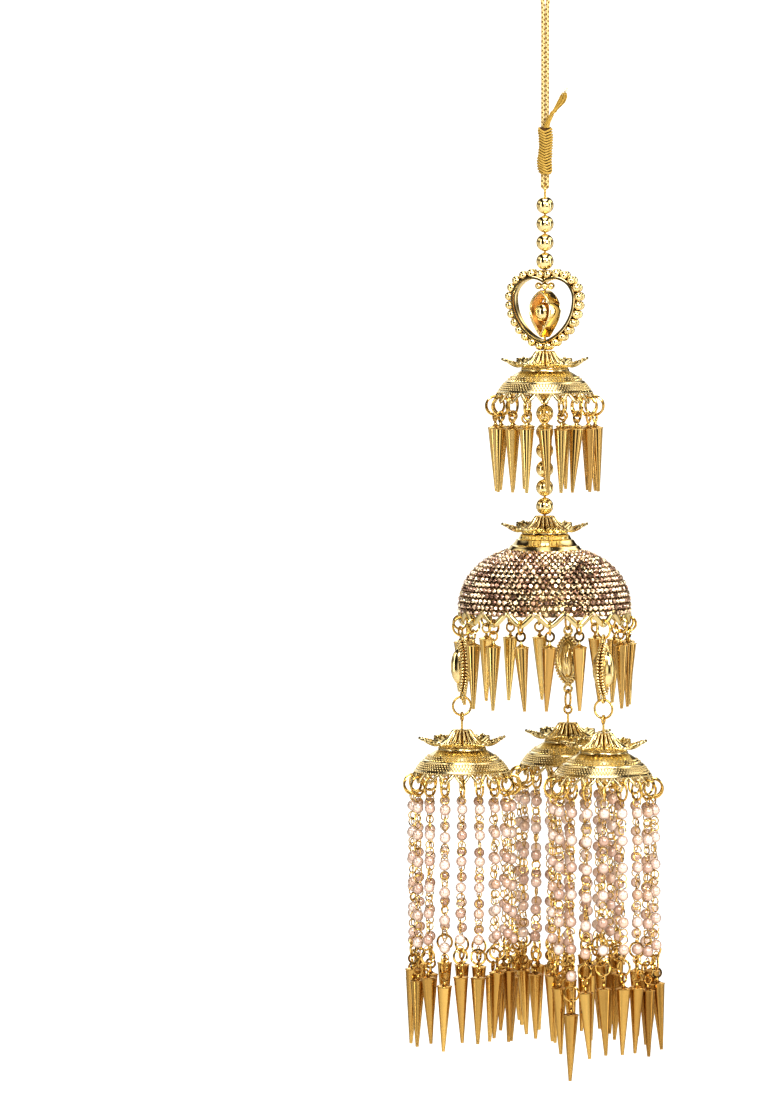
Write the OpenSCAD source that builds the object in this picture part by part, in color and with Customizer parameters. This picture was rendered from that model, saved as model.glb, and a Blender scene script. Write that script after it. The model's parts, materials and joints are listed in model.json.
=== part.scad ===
// Hanging bridal ornament: a corded loop, gold beads, a beaded heart with a swinging
// inner drop, a small lace bell, a stone covered bell and three pearl drops with cones.
// Lengths are in millimetres, +Z is up, and the origin is where the cord loop hangs.

/* [Whipping and cord] */
// Length of the thread whipping that binds the doubled cord
whip_len = 19; // [15:0.5:24]
// Diameter of the thread whipping
whip_d = 6; // [5.4:0.1:7]
// Diameter of one strand of the doubled metallic cord
strand_d = 1.45; // [1.2:0.05:1.5]
// Diameter of the short cord bight that holds the wire
bight_d = 1.2; // [1:0.05:1.3]
// Diameter of the loose thread end beside the cord
tail_d = 2.6; // [2:0.1:2.8]

/* [Wire] */
// Diameter of the wire that carries the beads and bells
wire_d = 0.9; // [0.8:0.02:1]
// Radial clearance of a piece threaded on the wire
bore_gap = 0.08; // [0.05:0.01:0.1]
// Outer diameter of the eye at the top of the wire
top_eye_d = 3.8; // [3.7:0.1:4.4]
// Length of wire between the eye and the first bead
shank_len = 1.1; // [0.8:0.1:3]
// Diameter of the head that keeps a bell on its wire
head_d = 4; // [3:0.2:5]
// Length of the crimp between the small bell and the stem beads
crimp_len = 13; // [12:0.5:16]
// Diameter of the crimp
crimp_d = 3; // [2.4:0.1:4]

/* [Gold beads] */
// Diameter of a plain gold bead
bead_d = 7; // [6:0.2:7.6]
// Gap between neighbouring beads
bead_gap = 0.45; // [0.3:0.05:0.8]

/* [Heart] */
// Width of the heart's opening
heart_w = 25; // [23.5:0.5:28]
// Height of the opening from its widest level to its lower tip
heart_drop = 17; // [16.5:0.25:18]
// Wall of the heart's band
heart_wall = 1.2; // [1:0.1:1.4]
// Depth of the heart's band from front to back
heart_depth = 6; // [5:0.25:7]
// Diameter of the balls round the heart
knob_d = 3.5; // [3.2:0.1:3.9]
// Number of balls on each side of the heart
knob_count = 13; // [12:1:13]
// Diameter of the three grains under the notch
grain_d = 2.9; // [2.6:0.1:3.1]
// Turn of the heart about the vertical
heart_turn = -22; // [-45:1:45]

/* [Inner drop] */
// Width of the almond ring in the heart
almond_w = 13.8; // [12.5:0.2:15]
// Depth of the almond ring from front to back
almond_depth = 5; // [4:0.2:5.6]
// Wall of the almond ring
almond_wall = 1; // [0.8:0.1:1.2]
// Diameter of the faceted ball in the almond ring
ball_d = 8.6; // [7.6:0.2:9.4]
// Diameter of the small bead below the faceted ball
seed_d = 2.6; // [2.2:0.1:2.8]
// Turn of the almond ring about the vertical at rest
almond_turn = -53; // [-80:1:80]

/* [Flower caps] */
// Radius of a flower cap at its petal tips
flower_r = 17.4; // [15:0.2:18.4]
// Height of a flower cap from its top to the lowest part of its petals
flower_h = 6; // [5:0.25:7]
// Thickness of a flower cap
flower_t = 0.7; // [0.6:0.05:0.9]

/* [Lace bells] */
// Radius of the sphere that a lace bell is a cap of
bell_sphere_r = 22; // [21:0.5:24]
// Height of a lace bell from its crown to its lace tips
bell_depth = 15; // [14:0.5:16]
// Wall of a lace bell
bell_wall = 0.9; // [0.8:0.05:1.1]
// Number of lace points, each with a ring
bell_points = 18; // [16:1:18]
// Height of a lace bell's crown above the step that the flower cap sits on
boss_rise = 1.2; // [1:0.1:1.6]
// Radius of that step
boss_r = 10.6; // [10:0.2:12]

/* [Stone bell] */
// Outer radius of the shell under the stones
shell_r = 32.6; // [30.5:0.2:34]
// Height of the shell
shell_h = 24.4; // [23:0.2:26]
// Wall of the shell
shell_wall = 0.8; // [0.7:0.05:1.2]
// Diameter of one row of set stones
row_d = 2.1; // [1.9:0.02:2.14]
// Number of rows of stones
row_count = 13; // [10:1:13]
// Radius of the stepped cap on the stone bell
cap_r = 14.9; // [14:0.1:15]
// Height of the stepped cap
cap_h = 8; // [7:0.25:9]

/* [Zigzag rim] */
// Thickness of the zigzag straps
zigzag_t = 1.2; // [1:0.05:1.4]
// Height of the zigzag straps
zigzag_h = 4.2; // [4:0.1:5]
// Thickness of the flange that joins the straps to the shell
flange_t = 0.8; // [0.6:0.1:1.2]

/* [Rings and cones] */
// Wire diameter of the jump rings
ring_wire = 0.9; // [0.8:0.02:0.92]
// Outer diameter of the large jump rings
ring_big = 8.3; // [8:0.1:9]
// Outer diameter of the small jump rings
ring_small = 6.4; // [6.2:0.1:7]
// Outer diameter of the eye on a cone
eye_d = 4.5; // [4.3:0.1:4.8]
// Length of a cone from its rim to its tip
cone_len = 25.6; // [22:0.2:28]
// Diameter of a cone below its rim
cone_d = 5.3; // [4.6:0.1:5.6]
// Diameter of a cone's blunt tip
tip_d = 1.4; // [1:0.1:2]
// Height of the neck between a cone's rim and its eye
neck_h = 1.9; // [1.6:0.1:2.6]

/* [Connectors] */
// Width of a marquise connector
marquise_w = 11.2; // [10:0.2:12]
// Height of a marquise connector without its loops
marquise_h = 22; // [20:0.5:24]
// Thickness of a marquise connector over both bulges
marquise_t = 9.2; // [8:0.2:9.6]
// Thickness of its rim
marquise_rim_t = 3; // [2.4:0.1:3.6]
// Outer diameter of the loops on a marquise connector
loop_d = 4.2; // [4.1:0.1:4.6]
// Wire diameter of these loops
loop_wire = 1.1; // [1:0.02:1.14]
// Height of the shank between a drop's eye and its flower cap
pin_shank = 3.2; // [2:0.2:5]

/* [Pearl drops] */
// Diameter of a pearl
pearl_d = 4.2; // [3.8:0.1:4.6]
// Distance from one pearl to the next down a strand
pearl_pitch = 10.4; // [9.6:0.1:11]
// Number of pearls in a strand
pearl_count = 6; // [4:1:7]

/* [Hidden] */
$fn = 48;

// Route of the doubled cord from the whipping up over its eye and down again: x, y, z
CORD_ROUTE = [[-0.8, 0, -62], [-0.8, 0, -57], [-0.8, 0, -53], [-0.8, 0, -49], [-0.8, 0, -45],
              [-0.8, 0, -41], [-0.8, 0, -37], [-0.8, 0, -33], [-0.8, 0, -29], [-0.8, 0, -25],
              [-0.8, 0, -21], [-0.8, 0, -17], [-0.9, 0, -13.5], [-1.3, 0, -10.5], [-1.9, 0, -8],
              [-2.6, 0, -5.4], [-3, 0, -3.5], [-3, 0, -1.8], [-2.4, 0, -0.4], [-1.3, 0, 0.5],
              [0, 0, 0.8], [1.3, 0, 0.5], [2.4, 0, -0.4], [3, 0, -1.8], [3, 0, -3.5],
              [2.6, 0, -5.4], [1.9, 0, -8], [1.3, 0, -10.5], [0.9, 0, -13.5], [0.8, 0, -17],
              [0.8, 0, -21], [0.8, 0, -25], [0.8, 0, -29], [0.8, 0, -33], [0.8, 0, -37],
              [0.8, 0, -41], [0.8, 0, -45], [0.8, 0, -49], [0.8, 0, -53], [0.8, 0, -57],
              [0.8, 0, -62]];
// Route of the loose thread end from the whipping's upper face: x, y, z, share of its diameter
TAIL_ROUTE = [[0.8, -1.65, -62, 0.6], [0.8, -1.65, -61, 0.6], [1.4, -2.4, -59.2, 0.85], [2.9, -2.7, -56.6, 1],
              [4.6, -2.8, -53.9, 1], [6.3, -2.8, -51.2, 0.95], [7.8, -2.7, -48.2, 0.85],
              [8.8, -2.6, -45.4, 0.7]];
// Route of the short bight below the whipping, from the whipping's lower face: x, y, z
BIGHT_ROUTE = [[-1.1, 0, 0], [-1.1, 0, -1.2], [-1.4, 0, -2.6], [-1.3, 0, -3.9], [-0.8, 0, -5], [0, 0, -5.5],
               [0.8, 0, -5], [1.3, 0, -3.9], [1.4, 0, -2.6], [1.1, 0, -1.2], [1.1, 0, 0]];
// The whipping's sideways sway and its girth down its length: share of length, x, share of diameter
WHIP_TABLE = [[0, 0, 0.82], [0.06, 0, 1], [0.25, 0.3, 1], [0.45, 0.3, 0.97], [0.6, 0, 1],
              [0.78, -0.3, 1.04], [0.93, 0, 1], [1, 0, 0.8]];
// Profile of a flower cap: share of its radius, share of its height
FLOWER_PROFILE = [[0.15, 0], [0.23, 0.27], [0.34, 0.7], [0.46, 0.93], [0.575, 1],
                  [0.72, 0.87], [0.86, 0.63], [1.02, 0.36]];
// Outer profile of the stepped cap: share of its radius, share of its height
CAP_OUTER = [[0.58, 0], [0.66, 0.08], [0.71, 0.25], [0.78, 0.33], [0.86, 0.55],
             [0.93, 0.63], [1, 0.82], [1, 0.92], [0.94, 1]];
// Inner profile of the stepped cap, from its foot up
CAP_INNER = [[0.865, 1], [0.865, 0.88], [0.79, 0.68], [0.725, 0.45], [0.64, 0.36],
             [0.59, 0.17], [0.54, 0.13]];

// Clearances
seat_gap = 0.3;
hook_gap = 0.1;
end_gap = 0.2;
overlap = 0.3;
cut = 1;

// Heights of the pieces on the main wire, from the top down
whip_top_z = -62;
whip_bottom_z = whip_top_z - whip_len;
bight_z = whip_bottom_z + min([for (p = BIGHT_ROUTE) p[2]]);
top_eye_z = bight_z + bight_d / 2 + hook_gap + wire_d - top_eye_d / 2;
first_bead_z = top_eye_z - top_eye_d / 2 - shank_len - bead_d / 2;
bead_pitch = bead_d + bead_gap;
last_bead_z = first_bead_z - 3 * bead_pitch;

// The heart's outline is two lobe arcs and two long side arcs
lobe_r = 0.312 * heart_w;
lobe_c = heart_w / 2 - lobe_r;
side_c = (pow(heart_drop, 2) - pow(heart_w / 2, 2)) / heart_w;
side_r = heart_w / 2 + side_c;
knob_path = heart_wall + 0.32 * knob_d;
lobe_turn = acos(-lobe_c / (lobe_r + knob_path));
side_turn = acos(side_c / (side_r + knob_path));
lobe_arc = (lobe_r + knob_path) * lobe_turn * PI / 180;
side_arc = (side_r + knob_path) * side_turn * PI / 180;
knob_pitch = (lobe_arc + side_arc) / knob_count;
first_knob = knob_at(0.5 * knob_pitch);
last_knob = knob_at((knob_count - 0.5) * knob_pitch);
bead_to_knob = (bead_d + knob_d) / 2 + seat_gap;
heart_z = last_bead_z - sqrt(pow(bead_to_knob, 2) - pow(first_knob[0], 2)) - first_knob[1];
notch_z = heart_z + lobe_r * sin(acos(-lobe_c / lobe_r));
heart_tip_z = heart_z - heart_drop;
grain_z = notch_z - grain_d / 2 + overlap;
almond_top_z = grain_z - grain_d / 2 - seat_gap;
almond_h = almond_top_z - heart_tip_z - 5 * seat_gap;
ball_z = almond_top_z - 0.47 * almond_h;
seed_z = ball_z - (ball_d + seed_d) / 2 - seat_gap;

// Small bell on its flower cap, then the stem beads
crown_z = heart_z + last_knob[1] - knob_d / 2 - seat_gap;
step_drop = flower_h + flower_t + seat_gap;
bell_crown_drop = step_drop - boss_rise;
bell_ceiling_drop = step_drop + bell_wall;
lace_tip_drop = bell_crown_drop + bell_depth;
crimp_top_z = crown_z - bell_ceiling_drop - seat_gap;
first_stem_z = crimp_top_z - crimp_len - seat_gap - bead_d / 2;
last_stem_z = first_stem_z - 5 * bead_pitch;
middle_z = last_stem_z - bead_d / 2 - seat_gap;

// Stone bell, its cap and its zigzag rim
cap_top_z = middle_z - step_drop;
cap_foot_r = CAP_INNER[0][0] * cap_r;
shell_z = cap_top_z - cap_h - seat_gap - shell_h * sqrt(1 - pow(cap_foot_r / shell_r, 2));
row_offset = row_d / 2 + hook_gap;
row_first_turn = acos((cap_r + row_d / 2 + seat_gap) / (shell_r + row_offset));
row_last_turn = asin((row_d / 2) / (shell_h + row_offset));
rim_top_z = shell_z - seat_gap;
rim_r = shell_r + row_offset + 0.25;
zigzag_points = 18;
rim_tip_z = rim_top_z - flange_t - zigzag_h;

// A hook point is the middle of the strap that a jump ring passes round
lace_strap = 1.8;
rim_strap = 2;
hook_rise = 1.2;
lace_r = sqrt(pow(bell_sphere_r, 2) - pow(bell_sphere_r - bell_depth + lace_strap / 2, 2)) - bell_wall / 2;
rim_hook_z = rim_tip_z + rim_strap / 2;

// A pierced gap above a lace point: its foot's half width, its height, and the strap left beside its top
lace_foot = 0.7;
lace_gap_h = 4.6;
lace_land = 0.3;
lace_gap_r = sqrt(pow(bell_sphere_r, 2) - pow(bell_sphere_r - bell_depth + lace_gap_h, 2)) - bell_wall / 2;
lace_gap_top = PI * lace_gap_r / bell_points - lace_land / 2;

// Down one pearl drop, measured from its hook point on the rim
first_ring_low = hook_rise + ring_wire / 2 - (ring_big - ring_wire);
marquise_top = first_ring_low + (ring_wire + loop_wire) / 2 + hook_gap + loop_wire / 2;
loop_reach = loop_d - 1.3;
marquise_mid = marquise_top - loop_reach - marquise_h / 2;
link_top = marquise_mid - marquise_h / 2 - loop_reach + loop_wire + hook_gap + ring_wire;
link_low = link_top - ring_big;
pin_eye_top = link_low + 2 * ring_wire + hook_gap;
pin_eye_d = 4;
drop_flower_top = pin_eye_top - pin_eye_d - pin_shank;
drop_tip = drop_flower_top - lace_tip_drop;
strand_top = drop_tip - end_gap;
unit_gap = 8.9;
strand_low = drop_tip - unit_gap - pearl_d / 2 - (pearl_count - 1) * pearl_pitch - unit_gap;

// Where the three pearl drops hang, as turns from the front towards +X
DROPS = [["a", -77.5, 0], ["b", 42.5, 28], ["c", 162.5, 0]];
petal_turn = 30;
lace_turn = -2;

// Points on a circle in a plane square to the direction d
function unit(v) = v / norm(v);
function across(d) = unit(cross(d, [0, 1, 0.001]));
function ring_points(c, d, r, sides) =
    [for (i = [0:sides - 1]) c + r * (cos(360 * i / sides) * across(d)
                                      + sin(360 * i / sides) * cross(unit(d), across(d)))];
function heading(route, i) = route[min(i + 1, len(route) - 1)] - route[max(i - 1, 0)];

// A closed tube along a route, with one radius for each point
module tube(route, radii, sides) {
    last = len(route) - 1;
    points = [for (i = [0:last]) each ring_points(route[i], heading(route, i), radii[i], sides)];
    walls = [for (i = [0:last - 1], j = [0:sides - 1])
        each [[i * sides + j, i * sides + (j + 1) % sides, (i + 1) * sides + j],
              [i * sides + (j + 1) % sides, (i + 1) * sides + (j + 1) % sides, (i + 1) * sides + j]]];
    start_cap = [for (j = [sides - 1:-1:0]) j];
    end_cap = [for (j = [0:sides - 1]) last * sides + j];
    polyhedron(points, concat([start_cap], walls, [end_cap]), convexity = 6);
}

module even_tube(route, d, sides) {
    tube(route, [for (p = route) d / 2], sides);
}

// Place children at a turn from the front and a distance from the axis, with +X outwards
module around(turn, r, z) {
    rotate([0, 0, turn - 90]) translate([r, 0, z]) children();
}

module torus(outer_d, wire) {
    rotate_extrude() translate([(outer_d - wire) / 2, 0]) circle(d = wire);
}

// A jump ring in the plane that holds the axis and the outward direction
module jump_ring(outer_d) {
    rotate([90, 0, 0]) torus(outer_d, ring_wire);
}

module threaded_bead(d, z) {
    translate([0, 0, z]) difference() {
        sphere(d = d);
        cylinder(h = d + cut, d = wire_d + 2 * bore_gap, center = true);
    }
}

module cord_loop() {
    color("goldenrod") even_tube(CORD_ROUTE, strand_d, 8);
}

module cord_whipping() {
    color("darkgoldenrod") tube([for (w = WHIP_TABLE) [w[1], 0, whip_top_z - w[0] * whip_len]],
                                [for (w = WHIP_TABLE) w[2] * whip_d / 2], 10);
}

module cord_bight() {
    color("gold") translate([0, 0, whip_bottom_z]) even_tube(BIGHT_ROUTE, bight_d, 8);
}

module cord_tail() {
    color("khaki") tube([for (p = TAIL_ROUTE) [p[0], p[1], p[2]]], [for (p = TAIL_ROUTE) p[3] * tail_d / 2], 8);
}

// One wire from the cord to the stone bell, with the crimp that carries the small bell
module main_wire() {
    wire_foot_z = shell_z + shell_h - shell_wall - seat_gap - wire_d;
    color("gold") union() {
        translate([0, 0, top_eye_z]) rotate([0, 90, 0]) torus(top_eye_d, wire_d);
        translate([0, 0, wire_foot_z]) cylinder(h = top_eye_z - top_eye_d / 2 + overlap - wire_foot_z, d = wire_d);
        translate([0, 0, crimp_top_z - crimp_len]) cylinder(h = crimp_len, d = crimp_d);
        translate([0, 0, wire_foot_z]) cylinder(h = wire_d, d = head_d);
    }
}

module bead(i) {
    color("gold") threaded_bead(bead_d, first_bead_z - (i - 1) * bead_pitch);
}

module stem_bead(i) {
    color("gold") threaded_bead(bead_d, first_stem_z - (i - 1) * bead_pitch);
}

// Half of the heart's outline, offset outwards, from the notch round to the lower tip
function heart_half(offset) =
    let (a0 = acos(-lobe_c / (lobe_r + offset)), b0 = acos(side_c / (side_r + offset)))
    concat([for (i = [0:12]) let (a = a0 * (1 - i / 12)) (lobe_r + offset) * [cos(a), sin(a)] + [lobe_c, 0]],
           [for (i = [1:12]) let (b = b0 * i / 12) (side_r + offset) * [cos(b), -sin(b)] - [side_c, 0]]);
function heart_outline(offset) =
    let (half = heart_half(offset), last = len(half) - 1)
    concat(half, [for (i = [last - 1:-1:1]) [-half[i][0], half[i][1]]]);

// Point at a distance along the path of the balls, from the notch downwards
function knob_at(dist) =
    dist < lobe_arc
        ? let (a = lobe_turn - dist / (lobe_r + knob_path) * 180 / PI)
          (lobe_r + knob_path) * [cos(a), sin(a)] + [lobe_c, 0]
        : let (b = (dist - lobe_arc) / (side_r + knob_path) * 180 / PI)
          (side_r + knob_path) * [cos(b), -sin(b)] - [side_c, 0];

module upright(depth) {
    rotate([90, 0, 0]) linear_extrude(depth, center = true) children();
}

module heart_frame() {
    color("gold") rotate([0, 0, heart_turn]) translate([0, 0, heart_z]) difference() {
        union() {
            difference() {
                union() {
                    upright(heart_depth) polygon(heart_outline(heart_wall));
                    for (side = [-1, 1], i = [0:knob_count - 1]) {
                        knob = knob_at((i + 0.5) * knob_pitch);
                        translate([side * knob[0], 0, knob[1]]) rotate([90, 0, 0]) sphere(d = knob_d);
                    }
                }
                upright(heart_depth + knob_d) polygon(heart_outline(0));
            }
            translate([0, 0, grain_z - heart_z]) {
                for (x = [-1, 0, 1]) translate([x * 0.93 * grain_d, 0, 0]) sphere(d = grain_d);
                rotate([0, 90, 0]) cylinder(h = 2 * grain_d, d = 0.45 * grain_d, center = true);
            }
        }
        translate([0, 0, -1.5 * heart_drop]) cylinder(h = 3 * heart_drop, d = wire_d + 2 * bore_gap);
    }
}

// Almond outline, rounder at the top and pointed at the bottom, from z = 0 down
function almond(w, h) =
    let (n = 16, half = [for (i = [0:n]) [w / 2 * sin(180 * pow(i / n, 0.8)), -h * i / n]])
    concat(half, [for (i = [n - 1:-1:1]) [-half[i][0], half[i][1]]]);

module almond_ring() {
    color("gold") rotate([0, 0, almond_turn]) translate([0, 0, almond_top_z]) difference() {
        upright(almond_depth) polygon(almond(almond_w, almond_h));
        translate([0, 0, -1.2 * almond_wall])
            upright(almond_depth + cut) polygon(almond(almond_w - 2 * almond_wall, almond_h - 3 * almond_wall));
        translate([0, 0, -almond_h - cut]) cylinder(h = almond_h + 2 * cut, d = wire_d + 2 * bore_gap);
    }
}

module faceted_ball() {
    color("goldenrod") rotate([0, 0, almond_turn]) translate([0, 0, ball_z]) difference() {
        sphere(d = ball_d, $fn = 12);
        cylinder(h = ball_d + cut, d = wire_d + 2 * bore_gap, center = true);
    }
}

module seed_bead() {
    color("gold") threaded_bead(seed_d, seed_z);
}

// Six petals in plan, as a wavy outline
function flower_plan() =
    [for (i = [0:59]) let (a = 6 * i, r = flower_r * (0.55 + 0.45 * pow(abs(cos(3 * a)), 0.8))) r * [cos(a), sin(a)]];

module flower_cap(z) {
    top = [for (p = FLOWER_PROFILE) [p[0] * flower_r, -p[1] * flower_h]];
    bore_r = wire_d / 2 + bore_gap;
    last = len(top) - 1;
    sheet = concat([[bore_r, 0]], top, [for (i = [last:-1:0]) top[i] - [0, flower_t]], [[bore_r, -flower_t]]);
    color("gold") translate([0, 0, z]) rotate([0, 0, petal_turn - 90]) intersection() {
        rotate_extrude() polygon(sheet);
        translate([0, 0, -2 * flower_h]) linear_extrude(3 * flower_h) polygon(flower_plan());
    }
}

// Outline of one pierced gap above a point, and of the gap between two points
function gap_above(strap, half_w, top_half_w, top) =
    [[-half_w, strap], [half_w, strap], [top_half_w, top], [-top_half_w, top]];
function gap_between(tip_w, pitch, peak) =
    [[-pitch / 2 + tip_w, -cut], [-pitch / 2 + tip_w, 0], [-0.15, peak], [0.15, peak],
     [pitch / 2 - tip_w, 0], [pitch / 2 - tip_w, -cut]];

// Cut outlines through a wall at radius r, one at each of n places
module pierce(n, r, turn, depth) {
    for (i = [0:n - 1]) around(turn + 360 * i / n, r - depth / 2, 0)
        rotate([90, 0, 90]) linear_extrude(depth) children();
}

// A lace bell, measured from the top of its flower cap at z
module pierced_bell(z, turn) {
    pitch = 2 * PI * lace_r / bell_points;
    inner_r = bell_sphere_r - bell_wall;
    step_z = boss_rise + bell_wall;
    color("khaki") translate([0, 0, z - bell_crown_drop]) difference() {
        union() {
            intersection() {
                translate([0, 0, -bell_sphere_r]) sphere(r = bell_sphere_r);
                translate([0, 0, -bell_depth]) cylinder(h = bell_depth + cut, r = bell_sphere_r + cut);
            }
            translate([0, 0, -boss_rise - 2.4]) cylinder(h = 2.4, r = boss_r);
            translate([0, 0, -0.46 * bell_depth]) cylinder(h = 0.8, r = 0.765 * bell_sphere_r);
        }
        difference() {
            translate([0, 0, -bell_sphere_r]) sphere(r = inner_r);
            translate([0, 0, -step_z]) cylinder(h = bell_sphere_r, r = bell_sphere_r);
        }
        translate([0, 0, -bell_sphere_r]) cylinder(h = 2 * bell_sphere_r, d = wire_d + 2 * bore_gap);
        translate([0, 0, -bell_depth]) {
            pierce(bell_points, lace_r, turn, 8 * bell_wall)
                polygon(gap_above(lace_strap, lace_foot, lace_gap_top, lace_gap_h));
            pierce(bell_points, lace_r, turn + 180 / bell_points, 8 * bell_wall)
                polygon(gap_between(0.8, pitch, 3.3));
        }
    }
}

// A cone with a flat rim, a neck and an eye, hung with the top of its eye at z = 0
module cone() {
    eye_low = -eye_d;
    union() {
        translate([0, 0, -eye_d / 2]) rotate([0, 90, 0]) torus(eye_d, ring_wire);
        translate([0, 0, eye_low - neck_h]) cylinder(h = neck_h + overlap, r1 = 0.38 * cone_d, r2 = 0.6 * ring_wire);
        translate([0, 0, eye_low - neck_h - 0.5]) cylinder(h = 0.5, d = cone_d + 0.5);
        translate([0, 0, eye_low - neck_h - cone_len]) cylinder(h = cone_len - 0.4, d1 = tip_d, d2 = cone_d);
    }
}

// Rings round the straps of a rim whose hook points are at height z, leaving out some
module hung_rings(n, r, z, turn, outer_d, skip) {
    color("gold") for (i = [0:n - 1]) if (skip == 0 || i % skip != 0)
        around(turn + 360 * i / n, r, z + hook_rise + ring_wire - outer_d / 2) jump_ring(outer_d);
}

module hung_cones(n, r, z, turn, outer_d, skip) {
    top = z + hook_rise + 3 * ring_wire + hook_gap - outer_d;
    color("gold") for (i = [0:n - 1]) if (skip == 0 || i % skip != 0)
        around(turn + 360 * i / n, r, top) cone();
}

module crown_flower() { flower_cap(crown_z); }
module lace_bell() { pierced_bell(crown_z, lace_turn); }
lace_hook_z = crown_z - lace_tip_drop + lace_strap / 2;
module bell_rings() { hung_rings(bell_points, lace_r, lace_hook_z, lace_turn, ring_big, 0); }
module bell_cones() { hung_cones(bell_points, lace_r, lace_hook_z, lace_turn, ring_big, 0); }
module middle_flower() { flower_cap(middle_z); }

module stepped_cap() {
    bore_r = wire_d / 2 + bore_gap;
    wall_z = CAP_INNER[len(CAP_INNER) - 1][1] * cap_h;
    profile = concat([[bore_r, 0]], [for (p = CAP_OUTER) [p[0] * cap_r, -p[1] * cap_h]],
                     [for (p = CAP_INNER) [p[0] * cap_r, -p[1] * cap_h]], [[bore_r, -wall_z]]);
    color("goldenrod") translate([0, 0, cap_top_z]) rotate_extrude() polygon(profile);
}

// Half an ellipse from the axis to the rim
function dome_profile(r, h, n) = [for (i = [n:-1:0]) [r * cos(90 * i / n), h * sin(90 * i / n)]];

module stone_bell() {
    n = 16;
    outer = dome_profile(shell_r, shell_h, n);
    inner = dome_profile(shell_r - shell_wall, shell_h - shell_wall, n);
    color("gold") translate([0, 0, shell_z]) difference() {
        rotate_extrude() polygon(concat(outer, [for (i = [n:-1:0]) inner[i]]));
        translate([0, 0, shell_h - 4 * shell_wall]) cylinder(h = 6 * shell_wall, d = wire_d + 2 * bore_gap);
    }
}

// Each row of set stones is one ring here
module stone_rows() {
    color("rosybrown") for (i = [0:row_count - 1]) {
        a = row_first_turn + (row_last_turn - row_first_turn) * i / (row_count - 1);
        translate([0, 0, shell_z + (shell_h + row_offset) * sin(a)])
            rotate_extrude() translate([(shell_r + row_offset) * cos(a), 0]) circle(d = row_d);
    }
}

module zigzag_rim() {
    pitch = 2 * PI * rim_r / zigzag_points;
    wall_h = flange_t + zigzag_h;
    turn = DROPS[0][1];
    color("gold") difference() {
        translate([0, 0, rim_tip_z]) cylinder(h = wall_h, r = rim_r + zigzag_t / 2);
        translate([0, 0, rim_tip_z - cut]) cylinder(h = zigzag_h + cut, r = rim_r - zigzag_t / 2);
        translate([0, 0, rim_tip_z]) cylinder(h = wall_h + cut, r = shell_r - 2 * shell_wall);
        translate([0, 0, rim_tip_z]) {
            pierce(zigzag_points, rim_r, turn, 4 * zigzag_t)
                polygon(gap_above(rim_strap, 1, 1 + (zigzag_h - rim_strap) / 0.97, zigzag_h));
            pierce(zigzag_points, rim_r, turn + 180 / zigzag_points, 4 * zigzag_t)
                polygon(gap_between(1.2, pitch, zigzag_h - 1));
        }
    }
}

module rim_rings() { hung_rings(zigzag_points, rim_r, rim_hook_z, DROPS[0][1], ring_small, 6); }
module rim_cones() { hung_cones(zigzag_points, rim_r, rim_hook_z, DROPS[0][1], ring_small, 6); }

// A drop's pieces are placed from its hook point, with +X outwards
module drop_at(i) {
    around(DROPS[i][1], rim_r, rim_hook_z) children();
}

module drop_ring(i) {
    color("gold") drop_at(i) translate([0, 0, hook_rise + ring_wire - ring_big / 2]) jump_ring(ring_big);
}

// A pointed oval made of two arcs
module pointed_oval(w, h) {
    r = (pow(w, 2) + pow(h, 2)) / (4 * w);
    intersection() {
        translate([r - w / 2, 0]) circle(r);
        translate([w / 2 - r, 0]) circle(r);
    }
}

// The bulge on both faces is a spindle, flattened sideways
module bulge(w, h, t) {
    n = 8;
    scale([1, w / t, 1]) rotate_extrude($fn = 12)
        polygon([for (i = [0:n]) [t / 2 * pow(sin(180 * i / n), 0.8), -h / 2 * cos(180 * i / n)]]);
}

module drop_marquise(i) {
    color("gold") drop_at(i) translate([0, 0, marquise_mid]) rotate([0, 0, DROPS[i][2]]) union() {
        rotate([90, 0, 90]) linear_extrude(marquise_rim_t, center = true) pointed_oval(marquise_w, marquise_h);
        bulge(0.55 * marquise_w, 0.68 * marquise_h, marquise_t);
        for (side = [-1, 1])
            translate([0, 0, side * (marquise_h / 2 + loop_reach - loop_d / 2)])
                rotate([0, 90, 0]) torus(loop_d, loop_wire);
    }
}

module drop_link(i) {
    color("gold") drop_at(i) translate([0, 0, link_top - ring_big / 2]) rotate([0, 0, DROPS[i][2]]) jump_ring(ring_big);
}

// The pin has an eye, passes through the flower cap and the bell, and ends in a head
module drop_pin(i) {
    head_z = drop_flower_top - bell_ceiling_drop - seat_gap - wire_d;
    shank_top = pin_eye_top - pin_eye_d + overlap;
    color("gold") drop_at(i) rotate([0, 0, DROPS[i][2]]) union() {
        translate([0, 0, pin_eye_top - pin_eye_d / 2]) rotate([0, 90, 0]) torus(pin_eye_d, wire_d);
        translate([0, 0, head_z]) cylinder(h = shank_top - head_z, d = wire_d);
        translate([0, 0, head_z]) cylinder(h = wire_d, d = head_d);
    }
}

module drop_flower(i) {
    drop_at(i) rotate([0, 0, 90 - DROPS[i][1]]) flower_cap(drop_flower_top);
}

module drop_bell(i) {
    drop_at(i) rotate([0, 0, 90 - DROPS[i][1]]) pierced_bell(drop_flower_top, 0);
}

// Each strand of pearls is one plain tube from the lace to the cone's eye
module drop_strands(i) {
    rings = ceil((strand_top - strand_low) / (2.5 * pearl_d));
    route = [for (k = [0:rings]) [0, 0, strand_low + (strand_top - strand_low) * k / rings]];
    color("mistyrose") drop_at(i) rotate([0, 0, 90 - DROPS[i][1]]) for (k = [0:bell_points - 1])
        around(360 * k / bell_points, lace_r, 0) even_tube(route, pearl_d, 8);
}

module drop_cones(i) {
    color("gold") drop_at(i) rotate([0, 0, 90 - DROPS[i][1]]) for (k = [0:bell_points - 1])
        around(360 * k / bell_points, lace_r, strand_low - end_gap) cone();
}

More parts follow.
